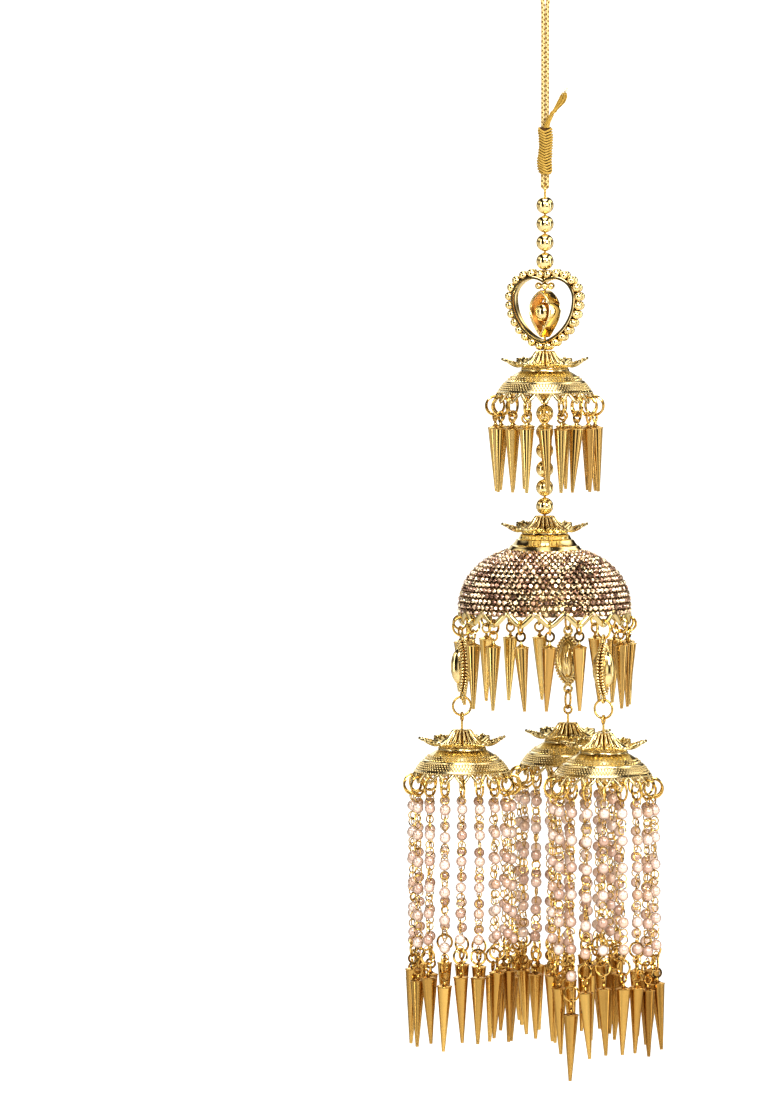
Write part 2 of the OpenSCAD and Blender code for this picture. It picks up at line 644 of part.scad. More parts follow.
cord_loop();
cord_whipping();
cord_bight();
cord_tail();
main_wire();
bead(1);  // bead_1
bead(2);  // bead_2
bead(3);  // bead_3
bead(4);  // bead_4
heart_frame();
almond_ring();
faceted_ball();
seed_bead();
crown_flower();
lace_bell();
bell_rings();
bell_cones();
stem_bead(1);  // stem_bead_1
stem_bead(2);  // stem_bead_2
stem_bead(3);  // stem_bead_3
stem_bead(4);  // stem_bead_4
stem_bead(5);  // stem_bead_5
stem_bead(6);  // stem_bead_6
middle_flower();
stepped_cap();
stone_bell();
stone_rows();
zigzag_rim();
rim_rings();
rim_cones();
drop_ring(0);  // drop_a_ring
drop_marquise(0);  // drop_a_marquise
drop_link(0);  // drop_a_link
drop_pin(0);  // drop_a_pin
drop_flower(0);  // drop_a_flower
drop_bell(0);  // drop_a_bell
drop_strands(0);  // drop_a_strands
drop_cones(0);  // drop_a_cones
drop_ring(1);  // drop_b_ring
drop_marquise(1);  // drop_b_marquise
drop_link(1);  // drop_b_link
drop_pin(1);  // drop_b_pin
drop_flower(1);  // drop_b_flower
drop_bell(1);  // drop_b_bell
drop_strands(1);  // drop_b_strands
drop_cones(1);  // drop_b_cones
drop_ring(2);  // drop_c_ring
drop_marquise(2);  // drop_c_marquise
drop_link(2);  // drop_c_link
drop_pin(2);  // drop_c_pin
drop_flower(2);  // drop_c_flower
drop_bell(2);  // drop_c_bell
drop_strands(2);  // drop_c_strands
drop_cones(2);  // drop_c_cones
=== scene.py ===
"""Looks of a hanging bridal ornament: cord, gold beads, heart, bells and pearl drops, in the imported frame."""

import json
import math
import random

import bpy
import numpy as np
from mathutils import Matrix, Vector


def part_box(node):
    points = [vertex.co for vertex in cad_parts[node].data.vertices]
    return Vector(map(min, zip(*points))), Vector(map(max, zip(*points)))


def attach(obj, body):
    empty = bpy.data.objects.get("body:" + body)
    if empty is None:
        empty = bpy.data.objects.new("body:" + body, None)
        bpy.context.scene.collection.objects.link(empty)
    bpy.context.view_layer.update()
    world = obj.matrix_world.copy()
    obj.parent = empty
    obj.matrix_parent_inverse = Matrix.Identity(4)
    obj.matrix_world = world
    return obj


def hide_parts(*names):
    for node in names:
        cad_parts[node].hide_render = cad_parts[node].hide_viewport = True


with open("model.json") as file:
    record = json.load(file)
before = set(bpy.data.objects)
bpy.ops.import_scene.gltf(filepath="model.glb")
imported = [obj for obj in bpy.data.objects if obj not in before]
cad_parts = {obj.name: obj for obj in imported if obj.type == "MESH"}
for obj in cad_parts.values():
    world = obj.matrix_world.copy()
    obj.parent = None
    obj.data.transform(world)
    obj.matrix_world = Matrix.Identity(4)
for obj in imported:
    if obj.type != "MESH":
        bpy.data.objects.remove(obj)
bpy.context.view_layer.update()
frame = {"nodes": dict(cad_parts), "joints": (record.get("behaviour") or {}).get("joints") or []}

# Shapes are made in millimetres, and pieces are scaled to metres
MM = 0.001
SMOOTH_ANGLE = math.radians(38)
# A profile's point nearer than this lies on the axis
ON_AXIS = 1e-9

# Camera, as fitted to the photograph: millimetres for each picture pixel at the hanging axis
MM_PER_PIXEL = 0.4
PHOTO_W = 780
PHOTO_H = 1108
FOCAL_PIXELS = 7400
AXIS_COLUMN = 545
HANG_TO_CAMERA = 82
PITCH_PIXELS = 377
SENSOR = 24
CLIP_START = 0.05
CLIP_END = 60

# Sizes that the part's source gives too, in millimetres
BORE_R = 0.53
RING_WIRE = 0.9
RING_BIG = 8.3
RING_SMALL = 6.4
RING_LOW = 6.8
EYE_D = 4.5
EYE_WIRE = 0.9
HOOK_RISE = 1.2
CONE_LENGTH = 25.6
CONE_R = 2.9
LOW_CONE_LENGTH = 26.5
PEARL_D = 4.2
PEARL_PITCH = 10.4
PEARL_COUNT = 6
BELL_POINTS = 18
BELL_SPHERE_R = 22
BELL_WALL = 0.9
BELL_DEPTH = 15
BOSS_RISE = 1.2
LACE_STRAP = 1.8
FIRST_POINT = {"lace_bell": -2, "drop_a_bell": 0, "drop_b_bell": 0, "drop_c_bell": 0}
FLOWER_H = 6
FLOWER_R = 17.4
FLOWER_DROP = 7
SHELL_R = 32.6
SHELL_H = 24.4
SHELL_WALL = 0.8
RIM_R = 34
RIM_STRAP = 2
ZIGZAG_POINTS = 18
ZIGZAG_H = 4.2
STRAND_D = 1.45
DROPS = ("drop_a", "drop_b", "drop_c")
DROP_SPIN = {"drop_a": 0, "drop_b": 28, "drop_c": 0}

# Sizes of the looks alone
DOME_POWER = 0.9
STONE_PITCH = 2.45
STONE_SCALE = 1.2
ROW_OFFSET = 1.15

# Routes of the doubled cord, of its bight and of the thread end, as in the part's source: x, y, z
CORD_ROUTE = [[-0.8, 0, -62], [-0.8, 0, -57], [-0.8, 0, -53], [-0.8, 0, -49], [-0.8, 0, -45],
              [-0.8, 0, -41], [-0.8, 0, -37], [-0.8, 0, -33], [-0.8, 0, -29], [-0.8, 0, -25],
              [-0.8, 0, -21], [-0.8, 0, -17], [-0.9, 0, -13.5], [-1.3, 0, -10.5], [-1.9, 0, -8],
              [-2.6, 0, -5.4], [-3, 0, -3.5], [-3, 0, -1.8], [-2.4, 0, -0.4], [-1.3, 0, 0.5],
              [0, 0, 0.8], [1.3, 0, 0.5], [2.4, 0, -0.4], [3, 0, -1.8], [3, 0, -3.5],
              [2.6, 0, -5.4], [1.9, 0, -8], [1.3, 0, -10.5], [0.9, 0, -13.5], [0.8, 0, -17],
              [0.8, 0, -21], [0.8, 0, -25], [0.8, 0, -29], [0.8, 0, -33], [0.8, 0, -37],
              [0.8, 0, -41], [0.8, 0, -45], [0.8, 0, -49], [0.8, 0, -53], [0.8, 0, -57],
              [0.8, 0, -62]]
BIGHT_ROUTE = [[-0.8, 0, 0.4], [-0.8, 0, -1.2], [-0.8, 0, -2.6], [-0.85, 0, -3.9], [-0.7, 0, -4.8],
               [0, 0, -5.3], [0.7, 0, -4.8], [0.85, 0, -3.9], [0.8, 0, -2.6], [0.8, 0, -1.2], [0.8, 0, 0.4]]
TAIL_ROUTE = [[0.6, -1.65, -62.4], [0.9, -2, -60.8], [1.6, -2.5, -58.8], [2.9, -2.8, -56.6],
              [4.6, -2.8, -54.4], [6.1, -2.8, -52.4], [7.1, -2.7, -50.4], [7.6, -2.6, -48.4]]
# The whipping down its length: share of length, sideways place, share of diameter
WHIP_TABLE = [[0, 0, 0.82], [0.06, 0, 1], [0.25, 0.3, 1], [0.45, 0.3, 0.97], [0.6, 0, 1],
              [0.78, -0.3, 1.04], [0.93, 0, 1], [1, 0, 0.8]]


def box_mm(node):
    """Lowest and highest corner of a node, in millimetres."""
    low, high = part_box(node)
    return np.array(low) / MM, np.array(high) / MM


HINGES = {j["child"]: np.array(j["pos_m"]) / MM for j in frame["joints"]}


def hinge_angle(body):
    """Angle of a drop's hinge round the axis, from the front."""
    x, y = HINGES[body][:2]
    return math.degrees(math.atan2(x, -y))


# Shapes

class Shape:
    """Vertices, faces in arrays of rows of one length, and a material number for all or for each array."""

    def __init__(self, verts, faces, mat=0, smooth=True):
        self.verts = np.asarray(verts, float).reshape(-1, 3)
        self.faces = [np.asarray(f, int) for f in faces if len(f)]
        self.mat = mat
        self.smooth = smooth

    def with_verts(self, verts):
        return Shape(verts, self.faces, self.mat, self.smooth)

    def moved(self, offset):
        return self.with_verts(self.verts + np.asarray(offset, float))

    def turned(self, matrix):
        return self.with_verts(self.verts @ np.asarray(matrix, float).T)

    def placed(self, degrees, offset):
        """Turned about Z, then moved."""
        return self.turned(turn("z", degrees)).moved(offset)

    def scaled(self, factors):
        return self.with_verts(self.verts * np.asarray(factors, float))

    def flipped(self):
        """The same surface with its faces turned over."""
        return Shape(self.verts, [f[:, ::-1] for f in self.faces], self.mat, self.smooth)


def turn(axis, degrees):
    """Rotation matrix about a main axis."""
    a = math.radians(degrees)
    c, s = math.cos(a), math.sin(a)
    if axis == "x":
        return np.array([[1, 0, 0], [0, c, -s], [0, s, c]])
    if axis == "y":
        return np.array([[c, 0, s], [0, 1, 0], [-s, 0, c]])
    return np.array([[c, -s, 0], [s, c, 0], [0, 0, 1]])


def out_turn(theta):
    """Turns +X to the outward direction at an angle from the front."""
    return turn("z", theta - 90)


def out_point(theta, r, z):
    a = math.radians(theta)
    return np.array([r * math.sin(a), -r * math.cos(a), z])


def grid_faces(rows, cols, wrap_rows=False):
    """Quads between the rows of a grid of points, whose last column joins its first."""
    faces = []
    for i in range(rows if wrap_rows else rows - 1):
        here, there = i * cols, (i + 1) % rows * cols
        for j in range(cols):
            k = (j + 1) % cols
            faces.append([here + j, there + j, there + k, here + k])
    return faces


def lathe(profile, sides, mat=0, loop=False, smooth=True):
    """Revolves rows of (r, z). An end on the axis is closed with a fan, and a loop closes on itself."""
    profile = np.asarray(profile, float)
    angles = 2 * np.pi * np.arange(sides) / sides
    on_axis = [r < ON_AXIS for r, z in profile]
    inner = [p for p, flat in zip(profile, on_axis) if not flat]
    verts = [[r * math.cos(a), r * math.sin(a), z] for r, z in inner for a in angles]
    tris = []
    if on_axis[0]:
        tris += [[len(verts), j, (j + 1) % sides] for j in range(sides)]
        verts.append([0, 0, profile[0][1]])
    if on_axis[-1]:
        base = (len(inner) - 1) * sides
        tris += [[len(verts), base + (j + 1) % sides, base + j] for j in range(sides)]
        verts.append([0, 0, profile[-1][1]])
    return Shape(verts, [grid_faces(len(inner), sides, wrap_rows=loop), tris], mat, smooth)


def ball(radius, cols, rows, mat=0, smooth=True):
    angles = np.radians(np.linspace(90, -90, rows))
    profile = [[max(0, radius * math.cos(a)), radius * math.sin(a)] for a in angles]
    profile[0][0] = profile[-1][0] = 0
    return lathe(profile, cols, mat, smooth=smooth)


def upright_ring(outer_d, wire, around, sides, mat=0):
    """A ring of round wire about Y."""
    big, small = (outer_d - wire) / 2, wire / 2
    angles = np.linspace(0, 2 * np.pi, sides, endpoint=False)[::-1]
    profile = [[big + small * math.cos(a), small * math.sin(a)] for a in angles]
    return lathe(profile, around, mat, loop=True).turned(turn("x", 90))


def smooth_route(points, steps):
    """Catmull-Rom curve through points, with steps pieces between two points."""
    p = np.asarray(points, float)
    p = np.vstack([2 * p[0] - p[1], p, 2 * p[-1] - p[-2]])
    t = (np.arange(steps) / steps)[:, None]
    out = []
    for a, b, c, d in zip(p, p[1:], p[2:], p[3:]):
        out.append(0.5 * (2 * b + (c - a) * t + (2 * a - 5 * b + 4 * c - d) * t ** 2
                          + (3 * b - a - 3 * c + d) * t ** 3))
    return np.vstack(out + [p[-2:-1]])


def path_lengths(path):
    """Distance along a path at each of its points."""
    return np.concatenate([[0], np.cumsum(np.linalg.norm(np.diff(path, axis=0), axis=1))])


def directions(path, closed):
    """Unit direction of a path at each of its points."""
    ahead = np.roll(path, -1, axis=0) - np.roll(path, 1, axis=0)
    if not closed:
        ahead[0], ahead[-1] = path[1] - path[0], path[-1] - path[-2]
    return ahead / np.linalg.norm(ahead, axis=1)[:, None]


def cross_directions(path, closed):
    """Two cross directions at each point, which turn as little as they can along a path."""
    tangents = directions(path, closed)
    start = np.array([0, 1, 0]) if abs(tangents[0][1]) < 0.9 else np.array([1, 0, 0])
    side = np.cross(tangents[0], start)
    sides = []
    for t in tangents:
        side = side - t * (side @ t)
        side = side / np.linalg.norm(side)
        sides.append(side)
    return np.array(sides), np.cross(tangents, sides)


def tube(path, radii, sides, mat=0, closed=False):
    """A tube along a path. radii is one number, one for each point, or one for each point and side."""
    path = np.asarray(path, float)
    radii = np.asarray(radii, float)
    if radii.ndim < 2:
        radii = np.broadcast_to(radii.reshape(-1, 1), (len(path), sides))
    u, v = cross_directions(path, closed)
    a = 2 * np.pi * np.arange(sides) / sides
    ring = np.cos(a)[None, :, None] * u[:, None, :] + np.sin(a)[None, :, None] * v[:, None, :]
    verts = (path[:, None, :] + radii[:, :, None] * ring).reshape(-1, 3)
    faces = np.array(grid_faces(len(path), sides, wrap_rows=closed))[:, ::-1]
    if closed:
        return Shape(verts, [faces], mat)
    start, end, base = len(verts), len(verts) + 1, (len(path) - 1) * sides
    caps = [[start, (j + 1) % sides, j] for j in range(sides)]
    caps += [[end, base + j, base + (j + 1) % sides] for j in range(sides)]
    return Shape(np.vstack([verts, path[:1], path[-1:]]), [faces, caps], mat)


def strap(path, normals, width, thick, bevel=0.3):
    """A closed bar with rounded corners along a path. Its thickness lies along the normals."""
    path, normals = np.asarray(path, float), np.asarray(normals, float)
    across = np.cross(normals, directions(path, closed=True))
    across /= np.linalg.norm(across, axis=1)[:, None]
    w, h, b = width / 2, thick / 2, bevel * thick
    section = [(w, -h + b), (w, h - b), (w - b, h), (0, h * 1.12), (-w + b, h),
               (-w, h - b), (-w, -h + b), (-w + b, -h), (w - b, -h)]
    verts = np.stack([path + s * across + n * normals for s, n in section], axis=1)
    return Shape(verts, [grid_faces(len(path), len(section), wrap_rows=True)])


def band(outline_at, section):
    """A closed band along an outline that is known at each offset. Section rows: offset, depth."""
    rows = np.array([[[x, depth, z] for x, z in outline_at(offset)] for offset, depth in section])
    return Shape(rows, [grid_faces(len(rows), rows.shape[1], wrap_rows=True)])


def both_sides(half):
    """A closed outline from its half of (x, z), whose ends lie on the middle line."""
    return half + [(-x, z) for x, z in half[-2:0:-1]]


def shell(top, bottom):
    """A closed sheet between two polar grids, rows from the bore out."""
    top, bottom = np.asarray(top, float), np.asarray(bottom, float)
    rows, cols = top.shape[:2]
    half = rows * cols
    faces = grid_faces(rows, cols)
    faces += [[half + f[0], half + f[3], half + f[2], half + f[1]] for f in faces]
    last = (rows - 1) * cols
    for j in range(cols):
        k = (j + 1) % cols
        faces.append([last + j, half + last + j, half + last + k, last + k])
        faces.append([j, k, half + k, half + j])
    return Shape(np.concatenate([top, bottom]), [faces]).flipped()


def copies(shape, places):
    """One shape with a copy at each (matrix, offset)."""
    mats = np.array([m for m, _ in places], float)
    offsets = np.array([o for _, o in places], float)
    verts = np.einsum("kij,nj->kni", mats, shape.verts) + offsets[:, None, :]
    step = (np.arange(len(places)) * len(shape.verts))[:, None, None]
    faces = [(f[None] + step).reshape(-1, f.shape[1]) for f in shape.faces]
    return Shape(verts, faces, shape.mat, shape.smooth)


def copies_at(shape, points):
    """One shape with an unturned copy at each point."""
    return copies(shape, [(np.eye(3), p) for p in points])


def piece(name, shapes, materials, body, nodes):
    """Makes one piece from shapes, on a body, in place of nodes."""
    faces, mats, smooth = [], [], []
    count = 0
    for s in shapes:
        for number, group in enumerate(s.faces):
            faces += (group + count).tolist()
            mats += [s.mat[number] if isinstance(s.mat, tuple) else s.mat] * len(group)
            smooth += [s.smooth] * len(group)
        count += len(s.verts)
    mesh = bpy.data.meshes.new(name)
    mesh.from_pydata((np.vstack([s.verts for s in shapes]) * MM).tolist(), [], faces)
    for m in materials:
        mesh.materials.append(m)
    mesh.polygons.foreach_set("material_index", mats)
    mesh.polygons.foreach_set("use_smooth", smooth)
    mesh.set_sharp_from_angle(angle=SMOOTH_ANGLE)
    mesh.update()
    obj = bpy.data.objects.new(name, mesh)
    bpy.context.scene.collection.objects.link(obj)
    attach(obj, body)
    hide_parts(*nodes)
    return obj


# Materials

# Share of its tone that gold keeps in its deeper patches, and of its dark tone that thread takes as painted
# shade in its folds
PATCH_SHADE = 0.86
FIBRE_SHADE = 0.45
# Samples of the ambient occlusion that paints shade in creases
AO_SAMPLES = 8


class Nodes:
    """A node tree with short calls."""

    def __init__(self, tree):
        self.tree = tree

    def add(self, kind):
        return self.tree.nodes.new(kind)

    def link(self, output, target):
        self.tree.links.new(output, target)

    def ramp(self, fac, stops):
        node = self.add("ShaderNodeValToRGB")
        ramp = node.color_ramp
        while len(ramp.elements) < len(stops):
            ramp.elements.new(0.5)
        for element, (place, colour) in zip(ramp.elements, stops):
            element.position = place
            element.color = (*colour, 1)
        self.link(fac, node.inputs["Fac"])
        return node.outputs["Color"]

    def between(self, fac, low, high, start=0):
        """Maps the range from start to 1 onto the range from low to high."""
        node = self.add("ShaderNodeMapRange")
        node.inputs["From Min"].default_value = start
        node.inputs["To Min"].default_value = low
        node.inputs["To Max"].default_value = high
        self.link(fac, node.inputs["Value"])
        return node.outputs["Result"]

    def mix(self, fac, a, b, blend="MIX"):
        node = self.add("ShaderNodeMix")
        node.data_type = "RGBA"
        node.blend_type = blend
        for value, socket in ((fac, node.inputs[0]), (a, node.inputs[6]), (b, node.inputs[7])):
            if isinstance(value, bpy.types.NodeSocket):
                self.link(value, socket)
            elif isinstance(value, tuple):
                socket.default_value = (*value, 1)
            else:
                socket.default_value = value
        return node.outputs[2]


class Finish(Nodes):
    """A material and its node tree."""

    def __init__(self, name):
        self.material = bpy.data.materials.new(name)
        self.material.use_nodes = True
        super().__init__(self.material.node_tree)
        self.shader = self.tree.nodes["Principled BSDF"]
        self.coords = self.add("ShaderNodeTexCoord").outputs["Object"]

    def noise(self, per_mm, detail=3.0, roughness=0.55):
        node = self.add("ShaderNodeTexNoise")
        node.inputs["Scale"].default_value = per_mm / MM
        node.inputs["Detail"].default_value = detail
        node.inputs["Roughness"].default_value = roughness
        self.link(self.coords, node.inputs["Vector"])
        return node.outputs["Fac"]

    def island(self):
        return self.add("ShaderNodeNewGeometry").outputs["Random Per Island"]

    def shaded_in_creases(self, tone, deep, distance_mm, low, high):
        """Painted shade: a tone that turns deep in folds and between pieces, by ambient occlusion."""
        node = self.add("ShaderNodeAmbientOcclusion")
        node.samples = AO_SAMPLES
        node.inputs["Distance"].default_value = distance_mm * MM
        return self.mix(self.ramp(node.outputs["AO"], [(low, (1, 1, 1)), (high, (0, 0, 0))]), tone, deep)

    def colour(self, output):
        self.link(output, self.shader.inputs["Base Color"])

    def bump(self, height, strength, distance_mm):
        node = self.add("ShaderNodeBump")
        node.inputs["Strength"].default_value = strength
        node.inputs["Distance"].default_value = distance_mm * MM
        self.link(height, node.inputs["Height"])
        self.link(node.outputs["Normal"], self.shader.inputs["Normal"])

    def set(self, **values):
        for key, value in values.items():
            self.shader.inputs[key.replace("_", " ")].default_value = value


def gold(name, light, deep, rough, spread=0.25, crease=0.9, dents=0.25):
    """Plated gold: light and deep tones by patches and from piece to piece, with the deep tone painted as shade
    in its creases.
    """
    n = Finish(name)
    n.set(Metallic=1.0)
    patches = n.mix(n.noise(per_mm=0.35), tuple(PATCH_SHADE * c for c in light), light)
    shade = n.mix(n.between(n.island(), 0, spread), patches, deep)
    # Painted shade: the deep tone in folds and between pieces
    n.colour(n.shaded_in_creases(shade, deep, crease, 0.25, 0.75))
    worn = n.between(n.noise(per_mm=1.6, detail=4), rough * 0.7, rough * 1.4)
    n.link(worn, n.shader.inputs["Roughness"])
    n.bump(n.noise(per_mm=2.6, detail=5), dents, 0.02)
    return n.material


def pearl_material():
    n = Finish("pearl")
    tone = n.ramp(n.island(), [(0.0, (0.56, 0.36, 0.28)), (0.35, (0.84, 0.64, 0.57)),
                               (0.7, (0.93, 0.80, 0.75)), (1.0, (0.70, 0.46, 0.33))])
    cloud = n.mix(n.between(n.noise(per_mm=0.8), 0, 0.3), tone, (0.95, 0.83, 0.77))
    # Painted shade: the colour turns dark brown towards the pearl's outline, where it faces away
    rim_darkening = n.add("ShaderNodeLayerWeight")
    rim_darkening.inputs["Blend"].default_value = 0.35
    n.colour(n.mix(n.between(rim_darkening.outputs["Facing"], -0.1, 0.95), cloud, (0.20, 0.09, 0.05)))
    n.set(Metallic=0.35, Roughness=0.24, IOR=1.6, Coat_Weight=1.0, Coat_Roughness=0.05)
    n.bump(n.noise(per_mm=1.8, detail=4), 0.12, 0.03)
    return n.material


def stone_material():
    n = Finish("stone")
    # Random tone per stone, from near black to pale cream: partly the stones' own champagne tone, partly
    # painted glints and painted dark shade
    n.colour(n.ramp(n.island(), [(0.0, (0.16, 0.07, 0.04)), (0.3, (0.64, 0.43, 0.34)),
                                 (0.62, (0.97, 0.79, 0.60)), (1.0, (1.0, 0.93, 0.70))]))
    n.set(Metallic=0.9, Roughness=0.05, IOR=1.9, Coat_Weight=1.0, Coat_Roughness=0.02)
    n.bump(n.noise(per_mm=0.9, detail=2), 0.08, 0.02)
    return n.material


def cup_material():
    n = Finish("stone_cup")
    tone = n.mix(n.noise(per_mm=0.8), (0.20, 0.12, 0.06), (0.46, 0.31, 0.15))
    # Painted shade: near black in the cup's folds and where it meets the stone and claws
    n.colour(n.shaded_in_creases(tone, (0.06, 0.03, 0.02), 0.7, 0.2, 0.8))
    n.set(Metallic=1.0, Roughness=0.3)
    n.bump(n.noise(per_mm=2.5, detail=4), 0.2, 0.03)
    return n.material


def fibre(name, light, dark, metallic, rough, sheen):
    """Twisted thread: fine fibres, painted lighter on the ridges of their bump, with painted shade in their
    folds.
    """
    n = Finish(name)
    fuzz = n.noise(per_mm=3.5, detail=6, roughness=0.7)
    # The same noise as the bump: painted lighter where the fibres stand up, darker between them
    tone = n.mix(n.between(fuzz, -0.4, 1.4), dark, light)
    # Painted shade in the thread's folds
    n.colour(n.shaded_in_creases(tone, tuple(FIBRE_SHADE * c for c in dark), 0.6, 0.2, 0.85))
    n.set(Metallic=metallic, Roughness=rough, Sheen_Weight=sheen, Sheen_Roughness=0.4)
    n.bump(fuzz, 0.5, 0.06)
    return n.material


# Each gold's crease is how far its painted shade in creases reaches, in millimetres
BEAD = gold("bead_gold", (0.97, 0.84, 0.51), (0.66, 0.44, 0.13), 0.06, dents=0.05)
CAST = gold("cast_gold", (1.0, 0.88, 0.53), (0.36, 0.16, 0.02), 0.12, dents=0.3)
LACE = gold("lace_gold", (0.90, 0.80, 0.52), (0.33, 0.20, 0.06), 0.20, crease=0.8, dents=0.7)
RIM = gold("rim_gold", (0.84, 0.74, 0.44), (0.30, 0.16, 0.03), 0.14, crease=1.2, dents=0.3)
CONE = gold("cone_gold", (0.88, 0.71, 0.34), (0.42, 0.20, 0.03), 0.10, spread=0.6, dents=0.2)
LOW_CONE = gold("low_cone_gold", (0.74, 0.52, 0.19), (0.28, 0.13, 0.02), 0.13, spread=0.65, dents=0.45)
# Painted reflection and shade: the almond ring's inner wall, more orange and darker than its outside
INNER_WALL_REFLECTION = gold("inner_wall_reflection_gold", (0.92, 0.50, 0.14), (0.60, 0.24, 0.04), 0.3)
WIRE = gold("wire_gold", (0.95, 0.72, 0.28), (0.30, 0.14, 0.02), 0.12, spread=0.5, dents=0.15)
PEARL = pearl_material()
STONE = stone_material()
CUP = cup_material()
CORD = fibre("metallic_cord", (0.95, 0.80, 0.46), (0.55, 0.38, 0.12), 0.35, 0.34, 0.1)
# Painted shade for the gaps between the cord's plies
CORD_GAP_SHADE = fibre("cord_gap_shade", (0.30, 0.18, 0.05), (0.10, 0.05, 0.01), 0.2, 0.6, 0.0)
THREAD = fibre("mustard_thread", (0.66, 0.50, 0.14), (0.40, 0.22, 0.02), 0.0, 0.5, 0.15)
# Painted shade for the tube under the whipping's turns, which shows between them
THREAD_GAP_SHADE = fibre("thread_gap_shade", (0.16, 0.07, 0.01), (0.06, 0.02, 0.0), 0.0, 0.7, 0.0)
WISP = fibre("cream_thread", (0.93, 0.88, 0.72), (0.75, 0.66, 0.45), 0.0, 0.6, 0.4)


# Interpolation, random turns and slopes

def interpolated(at, places, rows):
    """Row of numbers at a distance along rows that lie at places."""
    return np.stack([np.interp(at, places, column) for column in np.transpose(rows)], axis=-1)


def shake(rng, **limits):
    """Small random turns about the axes named, in that order. A limit holds both ways, or is (low, high)."""
    matrix = np.eye(3)
    for axis, limit in limits.items():
        low, high = limit if isinstance(limit, tuple) else (-limit, limit)
        matrix = matrix @ turn(axis, rng.uniform(low, high))
    return matrix


def zigzag_rise(share, blunt):
    """Share of a zigzag's height, from a blunt tip at 0 to the peaks at -1 and 1."""
    return (math.hypot(share, blunt) - blunt) / (math.hypot(1, blunt) - blunt)


def zigzag_steps(first, points, steps):
    """Angle and share of the way from a tip to a peak, -1 to 1, at each step of a zigzag round a rim."""
    shares = np.linspace(-1, 1, steps + 1)[:-1]
    return [(first + (k + share / 2) * 360 / points, share) for k in range(points) for share in shares]


def swell(value, centre, width):
    """Smooth rise to 1 at a centre."""
    return math.exp(-((value - centre) / width) ** 2)


def slope_up(value, start, width):
    """Even slope from 0 at start to 1 at a width beyond it."""
    return np.clip((value - start) / width, 0, 1)


# Camera

def make_camera():
    data = bpy.data.cameras.new("camera")
    data.sensor_fit = "VERTICAL"
    data.sensor_height = SENSOR
    data.sensor_width = SENSOR * PHOTO_W / PHOTO_H
    data.lens = SENSOR * FOCAL_PIXELS / PHOTO_H
    data.clip_start = CLIP_START
    data.clip_end = CLIP_END
    camera = bpy.data.objects.new("camera", data)
    distance = MM_PER_PIXEL * math.hypot(FOCAL_PIXELS, PITCH_PIXELS)
    pitch = math.atan2(PITCH_PIXELS, FOCAL_PIXELS)
    camera.location = (MM_PER_PIXEL * (PHOTO_W / 2 - AXIS_COLUMN) * MM, -distance * MM, -HANG_TO_CAMERA * MM)
    camera.rotation_euler = (math.pi / 2 - pitch, 0, 0)
    bpy.context.scene.collection.objects.link(camera)
    bpy.context.scene.camera = camera


# Cord, its whipping and its thread end

PLIES = 3
BRAID_SIDES = 18
BRAID_ROUND = 1.3
# Radius between two plies, as a share of the full radius, and the relief under which a face is a gap that takes
# painted shade
BRAID_LOW = 0.72
BRAID_GAP = 0.72
BRAID_SWELL = 1.16
BIGHT_D = 1.85
WHIP_D = 6
WHIP_THREAD = 0.96
WHIP_TURNS = 17
TURN_STEPS = 40
WHIP_SIDES = 12
THREAD_YARNS = 3
# The line down the whipping's front that its turns dip at: degrees at its top, lean and sway
SPINE_START = -104
SPINE_LEAN = 26
SPINE_SWAY = 10
SPINE_WIDTH = 1.25
SPINE_DIP = 1.5
SPINE_SWELL = 0.25
FIBRES = 70
FIBRE_TWIST = 3.2
# Radius of a fibre and of a wisp at its two ends
FIBRE_R = (0.24, 0.14)
WISP_R = (0.13, 0.07)
WISPS = 10
# The thread end's bundle down its length: share of length, half width
TUFT_TABLE = [[0, 1], [0.15, 1.1], [0.3, 1.05], [0.42, 0.6], [0.5, 0.75], [0.72, 1.6], [0.88, 1.5], [1, 0.7]]
NECK_SHARE = 0.42
NECK_TURN = 2.2 * math.pi
NECK_R = 0.9
NECK_THREAD_R = 0.2


def braided(route, steps, diameter, ply):
    """A round braid: slanting plies cross each other round a cord, with painted dark shade on the gaps between
    them.
    """
    path = smooth_route(route, steps)
    angle = PLIES * np.pi * np.arange(BRAID_SIDES) / BRAID_SIDES
    slant = np.pi * path_lengths(path)[:, None] / ply
    relief = np.maximum(np.abs(np.cos(angle + slant)), np.abs(np.cos(angle - slant)))
    radii = diameter / 2 * (BRAID_LOW + (1 - BRAID_LOW) * relief ** BRAID_ROUND)
    shape = tube(path, radii, BRAID_SIDES)
    quads, caps = shape.faces
    # Faces deep in the gaps between plies get the second material, a painted dark shade
    deep = relief.reshape(-1)[quads].mean(axis=1) < BRAID_GAP
    shape.faces = [quads[~deep], quads[deep], caps]
    shape.mat = (0, 1, 0)
    return path, shape


def make_cord():
    path, shape = braided(CORD_ROUTE, steps=16, diameter=STRAND_D * BRAID_SWELL, ply=1.9)
    cord = piece("cord", [shape], [CORD, CORD_GAP_SHADE], "root", ["cord_loop"])
    return cord, path, float(path_lengths(path)[-1])


